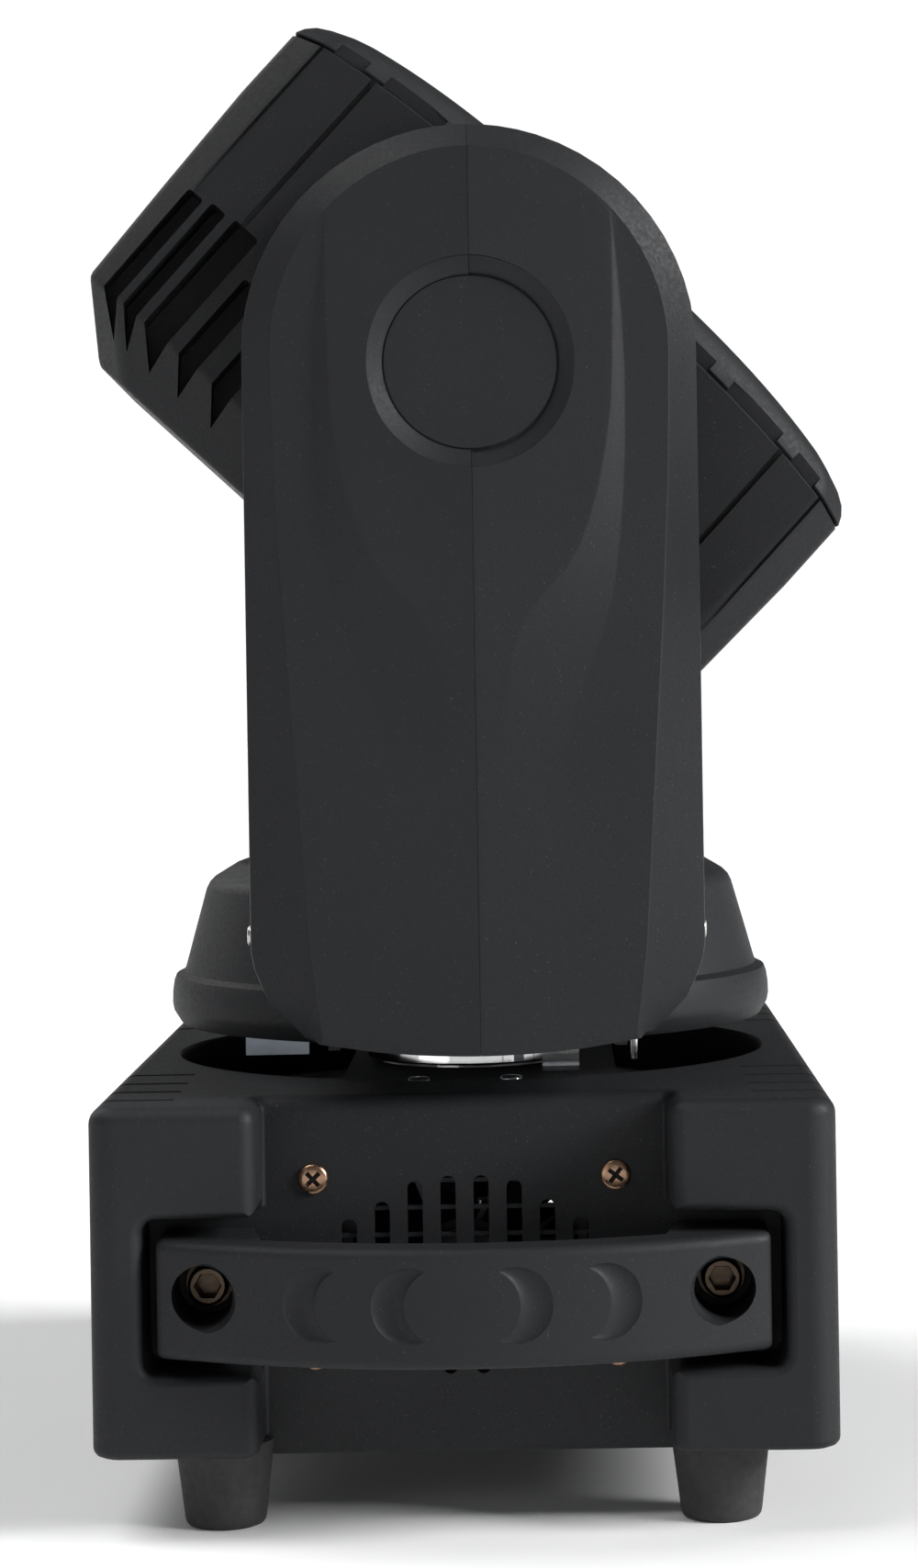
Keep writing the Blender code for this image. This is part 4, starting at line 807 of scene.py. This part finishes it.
def build_pan_drive():
    """What shows in the gap between the base and the yoke."""
    flange = [(0.024, 0.084), (0.024, 0.1362), (0.0374, 0.1362), (0.0382, 0.1369), (0.0378, 0.1424),
              (0.037, 0.143), (0.03, 0.143), (0.03, 0.153), (0.017, 0.153), (0.017, 0.084)]
    piece(solid("pan_flange", turned(flange, 128, closed=True)), "yoke", POLISHED, ("pan_shaft",))
    low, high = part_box("pan_flag_pin")
    centre = centre_of("pan_flag_pin")
    pin = solid("flag_pin", turned([(0.001, low.z), (0.0013, low.z + 0.0003), (0.0013, high.z)], 24))
    piece(pin, "yoke", CHROME, ("pan_flag_pin",), Matrix.Translation((centre.x, centre.y, 0)))
    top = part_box("pan_plate")[1].z
    for number, (x, y) in enumerate(((-0.017, -0.072), (0.015, -0.07), (-0.017, 0.072), (0.015, 0.072)), 1):
        place = (x, y, top)
        cross_screw(f"plate_screw_{number}", 0.0038, 0.0014, "base", CHROME, place, (0, 0, 1), 0.5 * number)


# ---------------- head

def chamfered(half_x, half_y, cut, side_points):
    """Rectangle whose corners are cut off and slightly rounded, with even points along its sides."""
    soft, slant, steps = 0.003, math.sqrt(0.5), 3
    corner = []
    for (x, y), enter, leave in (((half_x, half_y - cut), (0, -1), (-slant, slant)),
                                 ((half_x - cut, half_y), (slant, -slant), (-1, 0))):
        for t in (i / steps for i in range(steps + 1)):
            a, b = soft * (1 - t) ** 2, soft * t ** 2
            corner.append((x + a * enter[0] + b * leave[0], y + a * enter[1] + b * leave[1]))
    points = []
    for sign_x, sign_y in ((1, 1), (-1, 1), (-1, -1), (1, -1)):
        along_x = sign_x == sign_y
        points += [(sign_x * x, sign_y * y) for x, y in (corner if along_x else reversed(corner))]
        for i in range(1, side_points + 1):
            t = 1 - 2 * i / (side_points + 1)
            x, y = (t * (half_x - cut - soft), half_y) if along_x else (half_x, t * (half_y - cut - soft))
            points.append((sign_x * x, sign_y * y))
    return points


def arch(x, low, rise):
    """Height of an edge that falls from the middle of the head's side to its ends."""
    return low + rise * (1 - min(abs(x) / HEAD_HALF_X, 1.0) ** 3)


def seam_level(x):
    """Where the casing of the head ends and its front frame begins."""
    return arch(x, 0.0463, 0.0091)


def slot_outline(outer, inner, tip, top):
    """Straight slot with a soft square end, leaning inwards to a point at the back."""
    radius = 0.0012
    end = arc((inner + radius, top - radius), radius, 180, 90, 3)
    end += arc((outer - radius, top - radius), radius, 90, 0, 3)
    return end + [(outer, HEAD_SHOULDER), (tip, SLOT_TIP), (inner, HEAD_SHOULDER)]


def head_sections(inset=0.0, top=None):
    """Sections of the head from its back to its seam, or up to a plain level for the hollow inside."""
    back = HEAD_BACK + inset
    levels = [(back, 0.0998, 0.0858, 0.01), (back + 0.0005, 0.101, 0.087, 0.011),
              (back + 0.0018, 0.1027, 0.0888, 0.012), (HEAD_SHOULDER - 0.0014, 0.1203, 0.1052, HEAD_CUT),
              (HEAD_SHOULDER - 0.0002, 0.1212, 0.1062, HEAD_CUT),
              (HEAD_SHOULDER + 0.0014, 0.1216, 0.1067, HEAD_CUT),
              (-0.02, 0.123, 0.1105, HEAD_CUT), (0.02, HEAD_HALF_X, HEAD_HALF_Y, HEAD_CUT)]
    sections = [lay(chamfered(a - inset, b - inset, cut - inset * 0.5, 14), z) for z, a, b, cut in levels]
    rim = chamfered(HEAD_HALF_X - inset, HEAD_HALF_Y - inset, HEAD_CUT - inset * 0.5, 14)
    if top:
        sections.append(lay(rim, top))
    else:
        sections.append([(x, y, seam_level(x) - 0.0005) for x, y in rim])
        rim = chamfered(HEAD_HALF_X - 0.0005, HEAD_HALF_Y - 0.0005, HEAD_CUT, 14)
        sections.append([(x, y, seam_level(x) - 0.0001) for x, y in rim])
    return sections


def build_head_body():
    """Hollow casing of the head, with solid corners behind its slots and a round grille in its back."""
    body = solid("head_casing", loft(head_sections()))
    hollow = solid("head_hollow", loft(head_sections(WALL, 0.075)))
    pods, slots, grooves, grille = (bmesh.new() for _ in range(4))
    for sign_x, sign_y in QUARTERS:
        out = sign_y * (HEAD_HALF_Y + CLEAR)
        box((sign_x * 0.053, sign_x * 0.135), (sign_y * 0.087, sign_y * 0.13),
            (HEAD_BACK - CLEAR, -0.011), pods)
        for slot, top in zip(SLOTS, SLOT_TOPS):
            outline = [(sign_x * a, b) for a, b in slot_outline(*slot, top)]
            prism(outline, sign_y * (HEAD_HALF_Y - SLOT_DEPTH), out, "Y", slots)
        for x, half, start in ((0.0922, 0.001, -0.015), (0.1127, 0.0006, -0.0175)):
            box((sign_x * (x - half), sign_x * (x + half)), (sign_y * (HEAD_HALF_Y - 0.0026), out),
                (start, 0.07), grooves)
    carve(hollow, pods)
    grille_r, grille_pitch = 0.042, 0.012
    for number in range(-3, 4):
        y = number * grille_pitch
        slit = stadium(0, 0, 0.003, math.sqrt(grille_r ** 2 - y ** 2))
        prism([(a, y + b) for b, a in slit], HEAD_BACK - CLEAR, HEAD_BACK + 0.008, "Z", grille)
    shaft_hole = prism(circle(0.0095, 48, (-HEAD_SHIFT, 0)), -0.13, 0.13, "Y")
    carve(body, hollow, slots, grooves, grille, shaft_hole)
    piece(body, "head", HEAD_PLASTIC, ("head_housing",), HEAD, 28)


def build_bezel():
    """Front frame of the head, arched as seen from the side, with a round opening."""
    def rim(inset, low, rise):
        points = chamfered(HEAD_HALF_X - inset, HEAD_HALF_Y - inset, HEAD_CUT, 30)
        return [(x, y, arch(x, low, rise)) for x, y in points]

    def opening(radius, low, rise=0.0):
        points = [Vector(p).normalized() * radius for p in chamfered(HEAD_HALF_X, HEAD_HALF_Y, HEAD_CUT, 30)]
        return [(x, y, arch(x, low, rise)) for x, y in points]

    outer = [rim(*numbers) for numbers in (
        (0.0012, 0.0468, 0.0091), (0.0002, 0.0471, 0.0091), (0.0, 0.0476, 0.0091), (0.0012, 0.0502, 0.01),
        (0.0034, 0.0526, 0.0112), (0.0066, 0.0541, 0.0128), (0.01, 0.0546, 0.0136), (0.014, 0.0546, 0.0138))]
    inner = [opening(*numbers) for numbers in (
        (0.1012, 0.0545, 0.0137), (0.0996, 0.0541, 0.0137), (0.0986, 0.053, 0.0125), (0.098, 0.05),
        (0.101, 0.047))]
    inner.append(rim(0.0034, 0.0468, 0.0))
    bezel = solid("head_front_frame", loft(outer + inner, closed=True))
    pads = bmesh.new()
    for sign_x, sign_y in QUARTERS:
        for near, far in ((0.04, 0.056), (0.065, 0.089), (0.097, 0.1085)):
            seam = seam_level((near + far) / 2)
            box((sign_x * near, sign_x * far),
                (sign_y * (HEAD_HALF_Y - 0.0014), sign_y * (HEAD_HALF_Y + CLEAR)),
                (seam - 0.006, seam + 0.0052), pads)
    carve(bezel, pads)
    piece(bezel, "head", HEAD_PLASTIC, ("head_bezel",), HEAD, 28)


def lens_centres():
    """Hexagonal pattern of the lenses: one in the middle and a ring of neighbours for each of LENS_RINGS."""
    numbers = range(-LENS_RINGS, LENS_RINGS + 1)
    return [(LENS_PITCH * (q + r / 2), LENS_PITCH * r * math.sqrt(3) / 2)
            for q in numbers for r in numbers if abs(q + r) <= LENS_RINGS]


def build_optics():
    """Retaining plate, clear moulding of all lenses, and an LED with its cup under each lens."""
    plate = solid("lens_retainer", turned([(0.0971, 0.052), (0.0971, 0.0541), (0.0966, 0.0545)], 128))
    lenses = solid("lens_moulding", turned([(0.0971, 0.0499), (0.0971, 0.0517)], 96))
    hole_r, dome_r, dome_foot, crown = LENS_R + 0.0002, LENS_R - GAP, 0.0538, 0.0062
    hole = [(hole_r, 0.05), (hole_r, dome_foot), (LENS_R + 0.0014, 0.0547), (LENS_R + 0.0014, 0.06)]
    dome = [(dome_r, 0.0505), (dome_r, dome_foot)]
    dome += [(dome_r * math.cos(t), dome_foot + crown * math.sin(t))
             for t in (math.radians(a) for a in (12, 25, 38, 51, 63, 74, 83, 88.5))]
    cup = [(0.0062, 0.0361), (0.0156, 0.0492), (0.0166, 0.0492), (0.0072, 0.0361)]
    holes, domes, chips, cups = (bmesh.new() for _ in range(4))
    for centre in lens_centres():
        turned(hole, 48, bm=holes, centre=centre)
        turned(dome, 40, bm=domes, centre=centre)
        prism(rounded_rectangle(0.0045, 0.0045, 0.0006, 2, centre), 0.0346, 0.0358, bm=chips)
        turned(cup, 32, closed=True, bm=cups, centre=centre)
    carve(plate, holes)
    piece(plate, "head", SATIN, ("lens_plate",), HEAD)
    carve(lenses, domes, operation="UNION")
    piece(lenses, "head", ACRYLIC, ("lens_array",), HEAD)
    piece(solid("led_chips", chips), "head", ZINC, (), HEAD)
    piece(solid("reflector_cups", cups), "head", SATIN, (), HEAD)


# ---------------- front and rear panels of the base

def build_panels():
    """Menu buttons, and the screws at the corners of the display panel and the rear panel."""
    for number in range(1, 5):
        node = f"menu_button_{number}"
        back, front = (corner.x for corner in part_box(node))
        profile = [(0.0055, back), (0.0055, back + 0.0012), (0.0042, back + 0.0012), (0.0042, front - 0.0008),
                   (0.0038, front - 0.0002), (0.0031, front), (0.0024, front - 0.0003)]
        centre = centre_of(node)
        turn = Matrix(((0, 0, 1, 0), (1, 0, 0, centre.y), (0, 1, 0, centre.z), (0, 0, 0, 1)))
        piece(solid(f"button_cap_{number}", turned(profile, 40)), node, BUTTON_RUBBER, (node,), turn)
    face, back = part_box("display_panel")[1].x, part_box("rear_panel")[0].x
    for number, (y, z) in enumerate(((-0.097, 0.05), (0.097, 0.05), (-0.097, 0.118), (0.097, 0.118)), 1):
        for name, material, x, way, turn in (
                ("display_screw", SATIN, face, 1, 0.3), ("socket_screw", ZINC, back, -1, 0.4)):
            cross_screw(f"{name}_{number}", 0.003, 0.0006, "base", material, (x, y, z), (way, 0, 0),
                        turn * number)


def build_power_inlet():
    """Mains inlet: a flanged shell with three blades, its two lower corners cut off."""
    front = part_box("power_inlet")[0].x
    centre = centre_of("power_inlet").yz
    y, z = centre
    floor = -0.1005
    shape = ((0.014, 0.011, -0.096), (0.014, 0.011, front + 0.0022), (0.025, 0.0145, front + 0.0022),
             (0.025, 0.0145, front + 0.0006), (0.0244, 0.0139, front))
    sections = [lay(rounded_rectangle(a, b, 0.0034, 6, centre), x, "X") for a, b, x in shape]
    inlet = solid("mains_inlet", loft(sections))
    mouth = [(-0.012, 0.0085), (0.012, 0.0085), (0.012, -0.0035), (0.0075, -0.0085), (-0.0075, -0.0085),
             (-0.012, -0.0035)]
    carve(inlet, prism([(y + a, z + b) for a, b in mouth], front - 0.005, floor, "X"))
    piece(inlet, "base", GLOSS, ("power_inlet",))
    blades = bmesh.new()
    for a, b in ((y - 0.007, z - 0.0015), (y, z + 0.003), (y + 0.007, z - 0.0015)):
        box((-0.115, floor + 0.0003), (a - 0.001, a + 0.001), (b - 0.002, b + 0.002), blades)
    piece(solid("mains_blades", blades), "base", NICKEL)


def build_data_sockets():
    """Two round three-pin sockets, each in a plate: pins in the input, holes in the output."""
    pin_places = arc((0, 0), 0.0045, 60, 300, 2)
    for node, floor, pin in (("dmx_in", -0.016, [(0.0012, -0.017), (0.0012, -0.0035), (0.0006, -0.0028)]),
                             ("dmx_out", -0.0012, [(0.0015, -0.01), (0.0015, -0.0014), (0.002, -0.0008)])):
        centre = centre_of(node)
        place = aim((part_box(node)[0].x, centre.y, centre.z), (-1, 0, 0))
        shape = ((0.013, 0.0155, -0.0022), (0.013, 0.0155, -0.0004), (0.0126, 0.0151, 0.0))
        plate = loft([lay(rounded_rectangle(a, b, 0.003, 6), level) for a, b, level in shape])
        plate = solid(f"{node}_plate", plate)
        carve(plate, turned([(0.0112, -CLEAR), (0.0112, CLEAR)], 64))
        piece(plate, "base", GUNMETAL, (node,), place @ Matrix.Rotation(math.radians(90), 4, "Z"))
        shell = [(0.0111, -0.023), (0.0111, 0.0004), (0.0107, 0.0009), (0.0097, 0.0009), (0.0092, 0.0002),
                 (0.0092, floor), (0.0004, floor)]
        insert = solid(f"{node}_shell", turned(shell, 64))
        pins = bmesh.new()
        for centre in pin_places:
            turned(pin, 20, bm=pins, centre=centre)
        if node == "dmx_in":
            piece(solid("data_pins", pins), "base", NICKEL, (), place)
        else:
            carve(insert, pins)
        piece(insert, "base", SATIN, (), place)


def dress_frame():
    """Better surfaces for the CAD nodes that stay."""
    for material, nodes in (
            (POWDER, "base_tray rear_panel"), (GLOSS, "display_panel"), (SCREEN, "display_screen"),
            (ALUMINIUM, "power_supply pan_pulley pan_motor_pulley tilt_pulley tilt_motor_pulley heat_sink"),
            (SATIN, "base_fan_frame_right base_fan_frame_left base_fan_rotor_right base_fan_rotor_left"),
            (SATIN, "head_fan_frame head_fan_rotor pan_motor tilt_motor"), (RUBBER, "pan_belt tilt_belt"),
            (CHROME, "tilt_bearing_right tilt_bearing_left tilt_shaft_right tilt_shaft_left"),
            (CHROME, "pan_bearing pan_sensor_bracket"), (ZINC, "yoke_frame turret_floor"),
            (GREEN_BOARD, "control_board"), (WHITE_BOARD, "led_board"), (DULL_BLACK, "pan_plate")):
        for node in nodes.split():
            for slot in frame["nodes"][node].material_slots:
                slot.material = material


# ---------------- surroundings

def build_floor():
    floor = solid("floor", prism(circle(14.0, 96), -0.02, 0.0))
    s = Shading("pale_floor", 0.6)
    s.colour(s.mix(s.spread(s.noise(3, 2.0), 0.0, 1.0), (0.965, 0.965, 0.965), (0.985, 0.985, 0.985)))
    s.roughness(s.spread(s.noise(40, 2.0), 0.56, 0.64))
    floor.data.materials.append(s.material)


def build_backdrop():
    """A plain white wall far behind, which the light itself neither reflects nor is lit by."""
    wall = solid("backdrop", turned([(13.0, -0.01), (13.0, 14.0)], 96))
    glow = bpy.data.materials.new("backdrop_white")
    glow.use_nodes = True
    shader = glow.node_tree.nodes["Principled BSDF"]
    shader.inputs["Base Color"].default_value = (0, 0, 0, 1)
    shader.inputs["Emission Color"].default_value = (1, 1, 1, 1)
    shader.inputs["Emission Strength"].default_value = 1.0
    wall.data.materials.append(glow)
    for ray in ("visible_diffuse", "visible_glossy", "visible_transmission", "visible_shadow"):
        setattr(wall, ray, False)


def build_lighting():
    """Dim even surroundings, four broad suns and four low strips near the floor."""
    world = bpy.data.worlds.new("studio")
    world.use_nodes = True
    background = world.node_tree.nodes["Background"]
    background.inputs["Color"].default_value = (0.96, 0.98, 1.0, 1.0)
    background.inputs["Strength"].default_value = 0.11
    bpy.context.scene.world = world
    for name, strength, direction, spread in (
            ("key", 4.8, (1.7, -0.55, 0.9), 24), ("top", 1.3, (-0.45, -0.06, 1.0), 36),
            ("fill", 0.3, (-0.9, -1.0, 0.25), 40), ("back", 0.8, (-1.0, 1.0, 0.85), 40)):
        sun = bpy.data.lights.new(name, "SUN")
        sun.energy = strength
        sun.angle = math.radians(spread)
        add_object(name, sun).rotation_euler = Vector(direction).to_track_quat("Z", "Y").to_euler()
    for number, degrees in enumerate((-85, -25, -145, 90), 1):
        strip = bpy.data.lights.new(f"low_strip_{number}", "AREA")
        strip.shape, strip.size, strip.size_y, strip.energy = "RECTANGLE", 2.6, 0.3, 1.6
        away = Vector((math.cos(math.radians(degrees)), math.sin(math.radians(degrees)), 0))
        lamp = add_object(strip.name, strip)
        lamp.location = away * 2.3 + Vector((0, 0, 0.16))
        lamp.rotation_euler = away.to_track_quat("Z", "Y").to_euler()
    bpy.context.scene.view_settings.view_transform = "Standard"


def build_camera():
    """Level camera square to the right side of the light, a touch rolled, framed off its axis."""
    data = bpy.data.cameras.new("camera")
    data.sensor_fit = "HORIZONTAL"
    data.sensor_width = 36.0
    data.lens = 136.0
    data.shift_x, data.shift_y = -0.0905, -0.1245
    data.clip_start, data.clip_end = 0.05, 50.0
    camera = add_object("camera", data)
    turn = Matrix.Rotation(math.radians(90), 4, "X") @ Matrix.Rotation(math.radians(-0.9), 4, "Z")
    camera.matrix_world = Matrix.Translation((0.028, -1.276, 0.277)) @ turn
    bpy.context.scene.camera = camera


build_base()
build_base_sides()
for name, direction in SIDES:
    build_handle(name, direction)
    build_arm(name, direction)
build_feet()
build_turret()
build_pan_drive()
build_head_body()
build_bezel()
build_optics()
build_panels()
build_power_inlet()
build_data_sockets()
dress_frame()
build_floor()
build_backdrop()
build_lighting()
build_camera()
